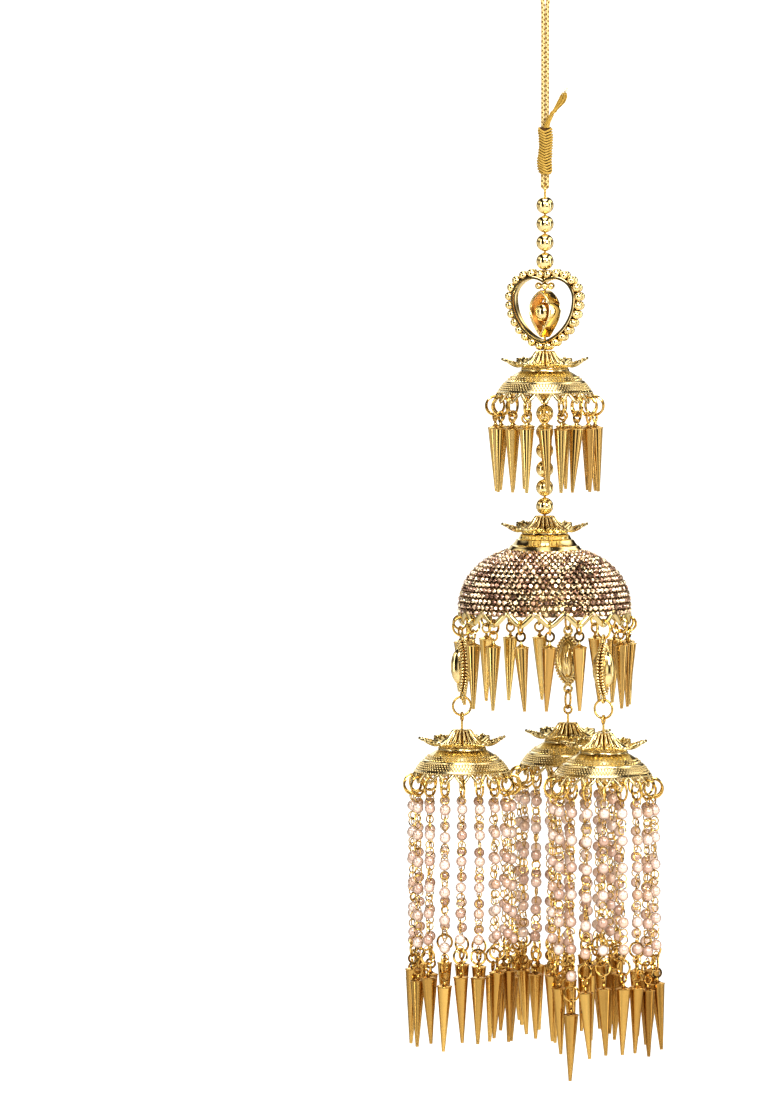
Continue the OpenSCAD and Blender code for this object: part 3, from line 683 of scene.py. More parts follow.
def make_whipping():
    low, high = box_mm("cord_whipping")
    top, length = high[2], high[2] - low[2]
    table = np.array(WHIP_TABLE)
    share = np.linspace(0.012, 0.988, WHIP_TURNS * TURN_STEPS)
    angle = 2 * np.pi * np.arange(len(share)) / TURN_STEPS
    # Each turn dips and stands out where it crosses a line that winds slowly down the front
    spine = np.radians(SPINE_START + SPINE_LEAN * share + SPINE_SWAY * np.sin(9 * share))
    near = np.maximum(0, 1 - np.abs(np.angle(np.exp(1j * (angle - spine)))) / SPINE_WIDTH)
    wobble = 0.09 * np.sin(5.3 * angle + 1) + 0.06 * np.sin(2.1 * angle)
    sway, girth = interpolated(share, table[:, 0], table[:, 1:]).T
    radius = girth * WHIP_D / 2 - WHIP_THREAD / 2 + wobble + SPINE_SWELL * near
    z = top - share * length - SPINE_DIP * near + 0.35
    z = np.clip(z, low[2] + WHIP_THREAD / 2, top - WHIP_THREAD / 2)
    coil = np.stack([sway + radius * np.cos(angle), radius * np.sin(angle), z], axis=1)
    yarns = np.pi * np.arange(WHIP_SIDES) * THREAD_YARNS / WHIP_SIDES
    twist = np.abs(np.sin(3 * angle[:, None] + yarns))
    wind = tube(coil, WHIP_THREAD / 2 * (0.84 + 0.16 * twist), WHIP_SIDES)
    share = np.linspace(0.01, 0.99, 24)
    sway, girth = interpolated(share, table[:, 0], table[:, 1:]).T
    axis_line = np.stack([sway, np.zeros(len(share)), top - share * length], axis=1)
    # A nearly black tube under the turns: painted shade that shows in the gaps between them
    gap_shade_tube = tube(axis_line, girth * WHIP_D / 2 - 0.75 * WHIP_THREAD, 24, mat=1)
    return piece("whipping", [gap_shade_tube, wind], [THREAD, THREAD_GAP_SHADE], "root", ["cord_whipping"])


def make_tail():
    """The loose end: a twisted neck that opens into a tuft of fine threads with pale tips."""
    path = smooth_route(TAIL_ROUTE, 5)
    share = np.linspace(0, 1, len(path))
    width = np.interp(share, *np.transpose(TUFT_TABLE))
    rng = random.Random(3)
    shapes = []
    for _ in range(FIBRES):
        start = 2 * math.pi * rng.random()
        r = math.sqrt(rng.random())
        end = 1 if rng.random() < 0.6 else rng.uniform(0.78, 1)
        n = max(8, int(end * len(path)))
        angle = start + FIBRE_TWIST * np.minimum(share[:n], 0.5) * 2
        off = np.stack([np.cos(angle), np.sin(angle), np.zeros(n)], axis=1) * (r * width[:n])[:, None]
        off[:, 0] += 0.35 * np.maximum(0, share[:n] - 0.55) * rng.uniform(-3, 3)
        shapes.append(tube(path[:n] + off, np.linspace(*FIBRE_R, n), 5))
    # Two turns of thread round the neck, which cross
    angle = np.linspace(0, NECK_TURN, 30)
    ring = np.stack([np.cos(angle), np.sin(angle), 0.4 * np.sin(angle)], axis=1)
    for side in (-1, 1):
        at = np.clip(len(path) * NECK_SHARE + side * (angle / NECK_TURN - 0.5) * 5, 0, len(path) - 1)
        shapes.append(tube(interpolated(at, np.arange(len(path)), path) + NECK_R * ring, NECK_THREAD_R, 6))
    steps = np.linspace(0, 1, 7)[:, None]
    for _ in range(WISPS):
        lean = rng.uniform(-0.4, 0.9)
        base = path[-5] + np.array([rng.uniform(-0.6, 0.6), rng.uniform(-0.4, 0.4), 0])
        line = base + steps * [0.5 + lean, 0.2 * lean, 3.2] + steps ** 2 * [0.9 * lean, 0, 0.3]
        shapes.append(tube(line, np.linspace(*WISP_R, len(steps)), 4, mat=1))
    return piece("thread_end", shapes, [THREAD, WISP], "root", ["cord_tail"])


def make_bight():
    top = box_mm("cord_bight")[1][2]
    route = [[x, y, top + z] for x, y, z in BIGHT_ROUTE]
    shape = braided(route, steps=14, diameter=BIGHT_D, ply=2)[1]
    return piece("cord_bight_braid", [shape], [CORD, CORD_GAP_SHADE], "root", ["cord_bight"])


# Beads on the main wire

LIP_ANGLE = 0.07


def bead_at(node):
    """A round bead with a small lip round its bore, as wide as a node and at its middle."""
    low, high = box_mm(node)
    r = (high[0] - low[0]) / 2
    start = math.asin(BORE_R / r) + LIP_ANGLE
    arc = [[r * math.sin(a), r * math.cos(a)] for a in np.linspace(start, math.pi - start, 25)]
    lip = r * math.cos(start)
    edge = [[BORE_R, lip - 0.05], [BORE_R + 0.08, lip + 0.02]]
    profile = edge + arc + [[x, -z] for x, z in edge[::-1]]
    return lathe(profile, 36, loop=True).moved([0, 0, (low[2] + high[2]) / 2])


def make_beads():
    for name in [f"bead_{i}" for i in range(1, 5)] + [f"stem_bead_{i}" for i in range(1, 7)]:
        piece(name + "_polished", [bead_at(name)], [BEAD], "root", [name])


# Heart and inner drop

HEART_TURN = -22
LOBE_R = 7.8
LOBE_C = 4.7
SIDE_R = 17.81
SIDE_C = 5.31
HEART_WALL = 1.2
HEART_DEPTH = 6
KNOBS = 13
KNOB_D = 3.5
KNOB_LOOK_R = 1.78
# How far out of the band a knob's centre lies, as a share of its diameter
KNOB_OUT = 0.32
KNOB_PATH = HEART_WALL + KNOB_OUT * KNOB_D
KNOB_DEPTH = 1.45
GRAIN_R = 1.45
GRAIN_PITCH = 2.7
ALMOND_TURN = -53
ALMOND_W = 13.8
ALMOND_WALL = 1.0
ALMOND_DEPTH = 5
# Rows of a band's cross section that lie on its inside
INNER_ROWS = 4


def lobe_point(offset, a):
    """Point of the upper arc of the heart's right half."""
    return (LOBE_R + offset) * math.cos(a) + LOBE_C, (LOBE_R + offset) * math.sin(a)


def side_point(offset, a):
    """Point of the long lower arc of the heart's right half."""
    return (SIDE_R + offset) * math.cos(a) - SIDE_C, -(SIDE_R + offset) * math.sin(a)


def heart_angles(offset):
    """Angle of the lobe's arc at the notch and of the side's arc at the lower tip."""
    return math.acos(-LOBE_C / (LOBE_R + offset)), math.acos(SIDE_C / (SIDE_R + offset))


def heart_ring(offset, n=26):
    """The heart's outline at an offset, from the notch by the lower tip and back, as (x, z)."""
    notch, tip = heart_angles(offset)
    lobe = [lobe_point(offset, a) for a in np.linspace(notch, 0, n)]
    side = [side_point(offset, a) for a in np.linspace(0, tip, n)]
    return both_sides(lobe + side[1:])


def band_section(wall, depth, lip):
    """Cross section of a band with a raised lip at both faces."""
    d = depth / 2
    front = [(0, -d + lip), (0.12, -d + 0.12), (lip * 0.7, -d), (wall * 0.75, -d), (wall, -d + lip)]
    back = [(offset, -y) for offset, y in front[::-1]]
    return front + back + [(0.25, d - lip - 0.35), (0.28, 0), (0.25, -d + lip + 0.35)]


def make_heart():
    notch, tip = heart_angles(KNOB_PATH)
    lobe_arc, side_arc = (LOBE_R + KNOB_PATH) * notch, (SIDE_R + KNOB_PATH) * tip

    def knob_at(dist):
        if dist < lobe_arc:
            return lobe_point(KNOB_PATH, notch - dist / (LOBE_R + KNOB_PATH))
        return side_point(KNOB_PATH, (dist - lobe_arc) / (SIDE_R + KNOB_PATH))

    spots = [knob_at((i + 0.5) * (lobe_arc + side_arc) / KNOBS) for i in range(KNOBS)]
    # The lowest knob gives the heart's level, as in the part's source
    centre = [0, 0, box_mm("heart_frame")[0][2] - spots[-1][1] + KNOB_D / 2]
    knob = ball(KNOB_LOOK_R, 18, 12).scaled([1, 0.86, 1])
    knobs = copies_at(knob, [[side * x, depth, z] for side in (-1, 1) for x, z in spots
                             for depth in (-KNOB_DEPTH, KNOB_DEPTH)])
    grain_z = lobe_point(0, heart_angles(0)[0])[1] - GRAIN_R + 0.3
    grains = copies_at(ball(GRAIN_R, 18, 12), [[x, 0, grain_z] for x in (-GRAIN_PITCH, 0, GRAIN_PITCH)])
    bar = tube([[x, 0, grain_z] for x in (-3.2, 0, 3.2)], 0.65, 12)
    shapes = [band(heart_ring, band_section(HEART_WALL, HEART_DEPTH, 0.3)), knobs, grains, bar]
    shapes = [s.placed(HEART_TURN, centre) for s in shapes]
    piece("beaded_heart", shapes, [CAST], "root", ["heart_frame"])


def make_inner_drop():
    low, high = box_mm("almond_ring")
    height = high[2] - low[2]

    def almond(offset, n=30):
        """Almond outline, rounder at its top, drawn in by wall less offset."""
        inset = ALMOND_WALL - offset
        w, h = ALMOND_W - 2 * inset, height - 3 * inset
        half = [(w / 2 * math.sin(math.pi * (i / n) ** 0.8), -1.2 * inset - h * i / n) for i in range(n + 1)]
        return both_sides(half)

    ring = band(almond, band_section(ALMOND_WALL, ALMOND_DEPTH, 0.18))
    # The inner rows take a more orange, darker gold: a painted reflection of the gold that faces them, and
    # painted shade
    split = len(ring.faces[0]) - INNER_ROWS * len(almond(0))
    ring.faces = [ring.faces[0][:split], ring.faces[0][split:]]
    ring.mat = (0, 1)
    lips = [tube([[x, depth, z] for x, z in almond(ALMOND_WALL * 0.6)], 0.42, 8, mat=2, closed=True)
            for depth in (-ALMOND_DEPTH / 2, ALMOND_DEPTH / 2)]
    shapes = [s.placed(ALMOND_TURN, [0, 0, high[2]]) for s in (ring, *lips)]
    piece("almond_band", shapes, [BEAD, INNER_WALL_REFLECTION, LACE], "heart_drop", ["almond_ring"])
    low, high = box_mm("faceted_ball")
    facets = ball((high[2] - low[2]) / 2 + 0.05, 10, 8, smooth=False)
    facets = facets.placed(ALMOND_TURN, [0, 0, (low[2] + high[2]) / 2])
    piece("cut_ball", [facets], [CAST], "heart_drop", ["faceted_ball"])
    piece("small_bead", [bead_at("seed_bead")], [BEAD], "heart_drop", ["seed_bead"])


# Flower caps

# From the middle to the petals' tips: share of the cap's radius, share of its height
FLOWER_PROFILE = [[0, 0], [0.17, 0], [0.2, 0.05], [0.24, 0.2], [0.3, 0.46], [0.38, 0.72], [0.46, 0.88],
                  [0.54, 0.97], [0.62, 1], [0.72, 0.92], [0.84, 0.77], [0.94, 0.66], [1.02, 0.62]]
# How far each petal's tip is bent up, from the right-hand petal anticlockwise
PETAL_LIFTS = [0.9, 0.7, 0.9, 0.7, -1.6, -1.8]
FLOWER_COLS = 252
FLOWER_ROWS = 34
FLOWER_BORE = 0.55
FLOWER_WALL = 0.6
# Flutes of the trumpet: count, height, and the radii that they rise from and end at
FLUTES = 18
FLUTE_H = 1.2
FLUTE_FROM = 2.4
FLUTE_TO = 10.4
# Ribs of the petals, small lobes of their edge and strands of the rope round it
RIBS = 30
RIB_H = 0.3
RIB_FROM = 9.4
LOBES = 30
ROPE_STRANDS = 84
ROPE_R = 0.5
EDGE_H = 0.35


def flower_shapes(seed):
    """A six-petal cap from its top at z = 0 down: a fluted trumpet, ribbed petals and a roped edge."""
    rng = random.Random(seed)
    angle = 2 * np.pi * np.arange(FLOWER_COLS) / FLOWER_COLS
    petal = np.abs(np.cos(3 * angle))
    # Each petal's edge has small lobes
    lobes = 1 - 0.04 * np.abs(np.sin(LOBES / 2 * angle)) * petal ** 0.5
    reach = (FLOWER_R - 0.5) * (0.56 + 0.44 * petal ** 0.6) * lobes
    lifts = np.array([lift + rng.uniform(-0.3, 0.3) for lift in PETAL_LIFTS])
    lifts = lifts[np.round(angle / (np.pi / 3)).astype(int) % 6] * petal
    ridge = np.abs(np.cos(FLUTES / 2 * angle)) ** 0.8 - 0.6
    top, bottom = [], []
    for t in np.linspace(0, 1, FLOWER_ROWS):
        r = FLOWER_BORE + (reach - FLOWER_BORE) * t
        share = r / FLOWER_R
        fluted = ridge * slope_up(r, FLUTE_FROM, 1.6) * slope_up(-r, -FLUTE_TO, 3)
        ribs = RIB_H * np.cos(RIBS * angle) * slope_up(r, RIB_FROM, 2) * np.clip((1 - t) / 0.12, 0.2, 1)
        cupped = 0.6 * (1 - petal ** 2) * slope_up(share, 0.5, 0.3)
        edge = EDGE_H * swell(t, 1, 0.06)
        curl = lifts * slope_up(share, 0.7, 0.3) ** 2
        z = -FLOWER_H * np.interp(share, *np.transpose(FLOWER_PROFILE))
        z = np.minimum(z + FLUTE_H * fluted + ribs + cupped + edge + curl, 0)
        outward = np.stack([r * np.cos(angle), r * np.sin(angle)], axis=1)
        top.append(np.column_stack([outward * (1 + 0.1 * fluted)[:, None], z]))
        bottom.append(np.column_stack([outward, z - FLOWER_WALL * (1 + edge)]))
    rope = ROPE_R + 0.14 * np.cos(ROPE_STRANDS * angle)
    return [shell(top, bottom), tube((top[-1] + bottom[-1]) / 2, rope, 7, closed=True)]


def collar():
    """The turned seat under a flower cap, from its cap's top at z = 0 down."""
    top, low = -FLOWER_H + 0.6, -FLOWER_DROP - 0.1
    outside = [[8.2, top], [8.9, top - 0.5], [9.3, top - 1.1], [9.3, low], [8.7, low]]
    return lathe([[BORE_R, top], *outside, [BORE_R, low]], 72, loop=True)


def top_of(node):
    """Middle of the top of a node's box."""
    low, high = box_mm(node)
    return np.array([(low[0] + high[0]) / 2, (low[1] + high[1]) / 2, high[2]])


def make_flowers():
    for seed, name in enumerate(("crown", "middle", *DROPS)):
        node = name + "_flower"
        shapes = [s.moved(top_of(node)) for s in (*flower_shapes(seed), collar())]
        body = name if name in DROPS else "root"
        piece(node + "_fluted", shapes, [CAST], body, [node])


# Lace bells

# Rows of raised dots: radius, count, share of a step that the row is turned by
DOT_ROWS = ((16.4, 84, 0), (19.0, 96, 0), (17.0, 90, 0), (17.6, 90, 0.5), (18.2, 90, 0))
# Two more rows, whose dots take turns
PAIRED_ROWS = ((13.6, 0), (14.6, 0.5))
PAIRED_DOTS = 60
DOT_R = 0.4
# Profile of the boss: radius, height above its top in the source
BOSS_EDGE = ((BORE_R, 0.1), (9.2, 0.1), (9.5, -0.05), (9.7, -0.35), (9.75, -1.05))
LACE_H = 4.2
RIDGE_R = 15.7
LACE_STEPS = 12
LACE_LOW = 0.5
LACE_RISE = 4
LACE_BLUNT = 0.12
LACE_W = 1.3
LACE_DOT_R = 0.28


def sphere_z(r, radius=BELL_SPHERE_R):
    return math.sqrt(max(0, radius ** 2 - r ** 2)) - BELL_SPHERE_R


def sphere_r(z):
    return math.sqrt(BELL_SPHERE_R ** 2 - (BELL_SPHERE_R + z) ** 2)


LACE_R = sphere_r(-BELL_DEPTH + LACE_STRAP / 2) - BELL_WALL / 2


def bell_shape(first_point):
    """A bell with a boss, two ridges, rows of dots and a pierced lace edge, from its crown at z = 0 down."""
    r_low = sphere_r(-BELL_DEPTH + LACE_H)
    inside = -BOSS_RISE - BELL_WALL
    profile = [[r, z - BOSS_RISE] for r, z in BOSS_EDGE]
    for r in np.linspace(9.95, r_low, 64):
        ridge = 0.34 * swell(r, RIDGE_R, 0.45) + 0.3 * swell(r, r_low, 0.4)
        z = sphere_z(r)
        profile.append([r * (1 + ridge / BELL_SPHERE_R), z + ridge * (1 + z / BELL_SPHERE_R)])
    profile += [[r, sphere_z(r, BELL_SPHERE_R - BELL_WALL)] for r in np.linspace(r_low - 0.75, 8.0, 14)]
    body = lathe(profile + [[7.0, inside], [BORE_R, inside]], 72, loop=True)
    dots = [(360 * (k + shift) / count, r) for r, count, shift in DOT_ROWS for k in range(count)]
    dots += [(360 * (k + shift) / PAIRED_DOTS, r) for k in range(PAIRED_DOTS) for r, shift in PAIRED_ROWS]
    raised = copies_at(ball(DOT_R, 6, 4), [out_point(theta, r, sphere_z(r) + 0.1) for theta, r in dots])
    # The lace: one zigzag strap with a line of dots along it
    path = []
    for theta, share in zigzag_steps(first_point, BELL_POINTS, LACE_STEPS):
        z = -BELL_DEPTH + LACE_LOW + LACE_RISE * zigzag_rise(share, LACE_BLUNT)
        path.append(out_point(theta, sphere_r(z) - BELL_WALL / 2, z))
    normals = np.array(path) + [0, 0, BELL_SPHERE_R]
    normals /= np.linalg.norm(normals, axis=1)[:, None]
    lace = strap(path, normals, LACE_W, BELL_WALL + 0.1)
    beading = (path + 0.5 * normals)[::2]
    return [body, raised, lace, copies_at(ball(LACE_DOT_R, 6, 4), beading)]


def make_bells():
    for node, first in FIRST_POINT.items():
        body, place = "root", top_of(node)
        if node != "lace_bell":
            body = node.removesuffix("_bell")
            place[:2] = HINGES[body][:2]
        shapes = [s.moved(place) for s in bell_shape(first)]
        piece(node + "_embossed", shapes, [LACE], body, [node])


# Rings and cones

CONE_TIP_R = 0.6
# Rim of a cone: further out than its radius, above the rim's level
CONE_RIM = [[-0.35, 0.12], [0.18, 0.02], [0.28, -0.16], [0.2, -0.36], [0.02, -0.5]]


def cone_shape(length, radius):
    """A spun cone with a flared rim, a neck and an eye, from the top of its eye at z = 0 down."""
    rim = -EYE_D - 1.9
    tip = rim - length
    profile = [[0, -EYE_D + 0.45], [0.42, -EYE_D + 0.4], [0.5, -EYE_D], [0.62, rim + 1.2], [1.25, rim + 0.62]]
    profile += [[radius + out, rim + up] for out, up in CONE_RIM]
    for t in np.linspace(0.05, 0.97, 9):
        profile.append([radius + (CONE_TIP_R - radius) * t ** 1.04, rim - 0.5 - (length - 0.5) * t])
    profile += [[0.66, tip + 0.5], [CONE_TIP_R, tip], [0.4, tip], [0.34, tip + 0.5], [0, tip + 0.6]]
    eye = upright_ring(EYE_D, EYE_WIRE, 18, 6).placed(90, [0, 0, -EYE_D / 2])
    return [lathe(profile, 20), eye]


def fringe(name, nodes, points, skipped, r, z, first, ring_d, rng):
    """Rings round a rim with a cone on each, at all of its points but those skipped."""
    rings, cones = [], []
    for k in range(points):
        if k in skipped:
            continue
        theta = first + 360 * k / points
        hook = out_point(theta, r, z)
        base = out_turn(theta) @ shake(rng, y=(-5, 2), z=9)
        up = base[:, 2]
        rings.append((base, hook + up * (HOOK_RISE + RING_WIRE - ring_d / 2)))
        lean = out_turn(theta) @ shake(rng, x=3.5, y=3, z=20)
        cones.append((lean, hook + up * (HOOK_RISE + 3 * RING_WIRE + 0.05 - ring_d)))
    ring = upright_ring(ring_d, RING_WIRE, 28, 8)
    piece(name + "_rings", [copies(ring, rings)], [WIRE], "root", [nodes + "_rings"])
    shapes = [copies(s, cones) for s in cone_shape(CONE_LENGTH, CONE_R)]
    piece(name + "_cones", shapes, [CONE], "root", [nodes + "_cones"])


def make_fringes():
    rng = random.Random(11)
    hook_z = box_mm("lace_bell")[0][2] + LACE_STRAP / 2
    fringe("crown", "bell", BELL_POINTS, (), LACE_R, hook_z, FIRST_POINT["lace_bell"], RING_BIG, rng)
    # The drops hang at every sixth point of the rim
    fringe("rim", "rim", ZIGZAG_POINTS, range(0, ZIGZAG_POINTS, 6), RIM_R, HINGES["drop_a"][2],
           hinge_angle("drop_a"), RING_SMALL, rng)


# Stone bell

DOME_END = math.pi / 2 - 0.02
# Distances along the dome's curve: of the lowest row, and each way for its slope
FIRST_ROW = 0.2
SLOPE_STEP = 0.2
TOP_ROW_R = 15.6
# A stone's corners: height of the ring that they lie on, radius
STONE_RINGS = ((0.05, 0.97), (0.67, 0.5))


def dome_point(a, offset):
    """A point of the large bell's outline, fuller at its shoulder than an ellipse."""
    r = (SHELL_R + 0.4 + offset) * math.cos(a) ** DOME_POWER
    return [r, (SHELL_H + offset) * math.sin(a) ** DOME_POWER]


def stone_shapes():
    """A cut stone with a table and eight crown facets, its cup and the cup's four claws. +X points out."""
    corners = [math.pi / 8 + math.pi / 4 * k for k in range(8)]
    verts = [[height, r * math.cos(a), r * math.sin(a)] for height, r in STONE_RINGS for a in corners]
    verts.append([-0.45, 0, 0])
    crown = [[k, (k + 1) % 8, 8 + (k + 1) % 8, 8 + k] for k in range(8)]
    under = [[16, (k + 1) % 8, k] for k in range(8)]
    stone = Shape(verts, [crown, [list(range(8, 16))], under], smooth=False)
    cup = lathe([[0.5, -0.9], [1.0, -0.75], [1.02, 0.08], [0.92, 0.06]], 8, mat=1, loop=True)
    claw = ball(0.2, 5, 4, mat=1).scaled([1.3, 1, 1])
    turns = [turn("x", 45 + 90 * k) for k in range(4)]
    return [stone, cup.turned(turn("y", 90)), copies(claw, [(t, t @ [0.2, 0, 0.86]) for t in turns])]


def make_stone_bell():
    base = box_mm("stone_bell")[0][2]
    rise = np.linspace(0, DOME_END, 30)
    profile = [dome_point(a, 0) for a in rise] + [dome_point(a, -SHELL_WALL) for a in rise[::-1]]
    sheet = lathe(profile, 96, loop=True).flipped().moved([0, 0, base])
    piece("bell_sheet", [sheet], [LACE], "root", ["stone_bell"])
    rng = random.Random(5)
    # Rows lie at even steps along the dome's curve, which starts a little below its edge
    curve = np.array([dome_point(a, ROW_OFFSET) for a in np.linspace(0.02, DOME_END, 400)])
    curve = np.vstack([[curve[0][0], -0.4], curve])
    along = path_lengths(curve)
    last = np.interp(-TOP_ROW_R, -curve[:, 0], along)
    rows = round(last / (STONE_PITCH * 0.93)) + 1
    places = []
    for i in range(rows):
        d = FIRST_ROW + (last - FIRST_ROW) * i / (rows - 1)
        r, z = interpolated(d, along, curve)
        ahead = interpolated(d + SLOPE_STEP, along, curve) - interpolated(d - SLOPE_STEP, along, curve)
        lean = math.degrees(math.atan2(-ahead[0], ahead[1]))
        count = int(2 * math.pi * r / STONE_PITCH)
        for k in range(count):
            theta = 360 * (k + 0.5 * (i % 2)) / count
            tilt = shake(rng, y=9, z=9, x=20)
            size = STONE_SCALE * rng.uniform(0.95, 1.03)
            places.append((size * out_turn(theta) @ turn("y", -lean) @ tilt, out_point(theta, r, base + z)))
    shapes = [copies(s, places) for s in stone_shapes()]
    piece("set_stones", shapes, [STONE, CUP], "root", ["stone_rows"])


# Stepped cap from its top down: share of its radius, share of its height
CAP_OUTSIDE = [[0.04, 0], [0.56, 0], [0.60, 0.015], [0.66, 0.08], [0.69, 0.16], [0.71, 0.25], [0.74, 0.31],
               [0.78, 0.33], [0.81, 0.42], [0.86, 0.55], [0.89, 0.61], [0.93, 0.63], [0.95, 0.7], [1, 0.82],
               [1.005, 0.87], [1, 0.92], [0.94, 1]]
CAP_INSIDE = [[0.865, 1], [0.865, 0.88], [0.79, 0.68], [0.725, 0.45], [0.64, 0.36], [0.59, 0.17],
              [0.54, 0.13], [0.04, 0.13]]
CAP_DOTS = 72


def make_stepped_cap():
    low, high = box_mm("stepped_cap")
    r, h = (high[0] - low[0]) / 2, high[2] - low[2]
    cap = lathe([[a * r, -b * h] for a, b in CAP_OUTSIDE + CAP_INSIDE], 96, loop=True)
    dots = [out_point(360 * k / CAP_DOTS, 0.985 * r, -0.9 * h) for k in range(CAP_DOTS)]
    shapes = [s.moved([0, 0, high[2]]) for s in (cap, copies_at(ball(0.42, 8, 6), dots))]
    piece("stepped_cap_turned", shapes, [CAST], "root", ["stepped_cap"])


RIM_STEPS = 16
RIM_BLUNT = 0.16
RIM_LOWER = 0.25
RIM_TALLER = 0.75
# The peaks are lower by this share of their height, from this share of the way to a peak on
RIM_FLAT = 0.06
RIM_FLAT_FROM = 0.85
RIM_BAR_W = 2.5
RIM_BAR_THICK = 1.5
# Cross section of the hoop that the zigzag hangs from, with its top at z = 0
HOOP_SECTION = [[31.2, -0.9], [31.2, 0], [33.1, 0], [33.3, -0.3], [33.2, -0.9]]


def make_zigzag():
    low, high = box_mm("zigzag_rim")
    path, normals = [], []
    for theta, share in zigzag_steps(hinge_angle("drop_a"), ZIGZAG_POINTS, RIM_STEPS):
        flattened = 1 - RIM_FLAT * slope_up(abs(share), RIM_FLAT_FROM, 1 - RIM_FLAT_FROM)
        rise = (ZIGZAG_H + RIM_TALLER) * zigzag_rise(share, RIM_BLUNT) * flattened
        path.append(out_point(theta, RIM_R, low[2] + RIM_STRAP / 2 - RIM_LOWER + rise))
        normals.append(out_point(theta, 1, 0))
    bars = strap(path, normals, RIM_BAR_W, RIM_BAR_THICK, bevel=0.42)
    hoop = lathe(HOOP_SECTION, 108, loop=True).flipped().moved([0, 0, high[2] - 0.1])
    piece("zigzag_rim_rounded", [bars, hoop], [RIM], "root", ["zigzag_rim"])


# Connectors and pearl drops

MARQUISE_W = 11.2
MARQUISE_H = 22
MARQUISE_HALF = 1.1
MARQUISE_LOOP_D = 4.2
TEETH = 36
TOOTH_STEP = 0.2


def pointed(offset, n=26):
    """A pointed oval of two arcs, drawn in by offset, as (x, z)."""
    w, h = MARQUISE_W - 2 * offset, MARQUISE_H - 2.6 * offset
    r = (w * w + h * h) / (4 * w)
    a = math.asin(h / 2 / r)
    return both_sides([(r * math.cos(t) - (r - w / 2), r * math.sin(t)) for t in np.linspace(a, -a, n)])


def ridge_ring(offset, width, lift, half):
    """A raised line on both faces along a pointed oval."""
    edge = half + lift * 0.8
    face = [(-width / 2, 0), (-width / 4, edge), (0, half + lift), (width / 4, edge)]
    return band(lambda more: pointed(offset + more), face + [(-o, -d) for o, d in face])


def marquise_shapes(loop_z):
    """A double-faced pointed oval: toothed rim, two raised lines and a bulge on each face, and two loops."""
    near, far = MARQUISE_HALF, MARQUISE_HALF + 0.35
    plate = np.array([[[x * s, d, z * s] for x, z in pointed(0.9)]
                      for s, d in ((1, -near), (0.62, -far), (0.62, far), (1, near))])
    shapes = [Shape(plate, [grid_faces(4, plate.shape[1], wrap_rows=True)]).flipped()]
    rim = np.array(pointed(0.75, 60))
    rim = np.vstack([rim, rim[:1]])
    along = path_lengths(rim)
    total = along[-1]
    places = []
    for k in range(TEETH):
        d = total * (k + 0.5) / TEETH
        x, z = interpolated(d, along, rim)
        ahead = interpolated((d + TOOTH_STEP) % total, along, rim) - (x, z)
        slope = turn("y", math.degrees(math.atan2(ahead[0], ahead[1])))
        places += [(slope @ turn("x", lean), [x, depth, z]) for depth, lean in ((-0.85, -24), (0.85, 24))]
    shapes.append(copies(ball(0.8, 10, 7).scaled([1.25, 1.15, 0.72]), places))
    shapes.append(ridge_ring(2.0, 0.7, 0.45, MARQUISE_HALF))
    shapes.append(ridge_ring(3.0, 0.55, 0.35, MARQUISE_HALF + 0.5))
    bulge = lathe([[math.sin(t) ** 0.8, -7.4 * math.cos(t)] for t in np.linspace(0, math.pi, 19)], 26)
    shapes.append(bulge.scaled([2.75, 4.55, 1]).flipped())
    return shapes + [upright_ring(MARQUISE_LOOP_D, 1.1, 22, 8).moved([0, 0, z]) for z in (loop_z, -loop_z)]


def make_connectors():
    for body in DROPS:
        low, high = box_mm(body + "_marquise")
        centre = [*HINGES[body][:2], (low[2] + high[2]) / 2]
        spin = hinge_angle(body) + DROP_SPIN[body]
        shapes = [s.placed(spin, centre) for s in marquise_shapes((high[2] - low[2] - MARQUISE_LOOP_D) / 2)]
        piece(body + "_connector", shapes, [CAST], body, [body + "_marquise"])


LINK_EYE_D = 3.55
LINK_WIRE = 0.45
# The strand that has one pearl more than the others
LONG_STRAND = ("drop_b", 16)
RING_OVERLAP = 0.4
PEARL_SIZES = (0.96, 1.07)
# A strand hangs up to this many degrees off the plumb line, and each of its pearls strays by a share more
STRAND_LEAN = 0.7
STRAY = 0.02


def pearl_unit():
    """One pearl on its wire with an eye at each end, centred on the pearl."""
    rise = PEARL_PITCH / 2 + LINK_WIRE + 0.04 - LINK_EYE_D / 2
    eye = upright_ring(LINK_EYE_D, LINK_WIRE, 12, 5, mat=1)
    return [ball(PEARL_D / 2, 14, 10), eye.moved([0, 0, rise]), eye.placed(90, [0, 0, -rise])]


def strand(place, spin, drift, size, count, rng):
    """Places of a strand's pearls from its top down, and the point that the last of them ends at."""
    half = (PEARL_PITCH / 2 + LINK_WIRE) * size
    units = []
    for j in range(count):
        step = np.array([drift[0] + rng.uniform(-STRAY, STRAY), drift[1] + rng.uniform(-STRAY, STRAY), -1])
        step /= np.linalg.norm(step)
        tilt = turn("y", math.degrees(math.atan(-step[0]))) @ turn("x", math.degrees(math.atan(step[1])))
        spun = turn("z", spin + 90 * (j % 2) + rng.uniform(-25, 25))
        units.append((size * tilt @ spun, place + step * half))
        place = place + step * (2 * half - 0.98 * size)
    return units, place


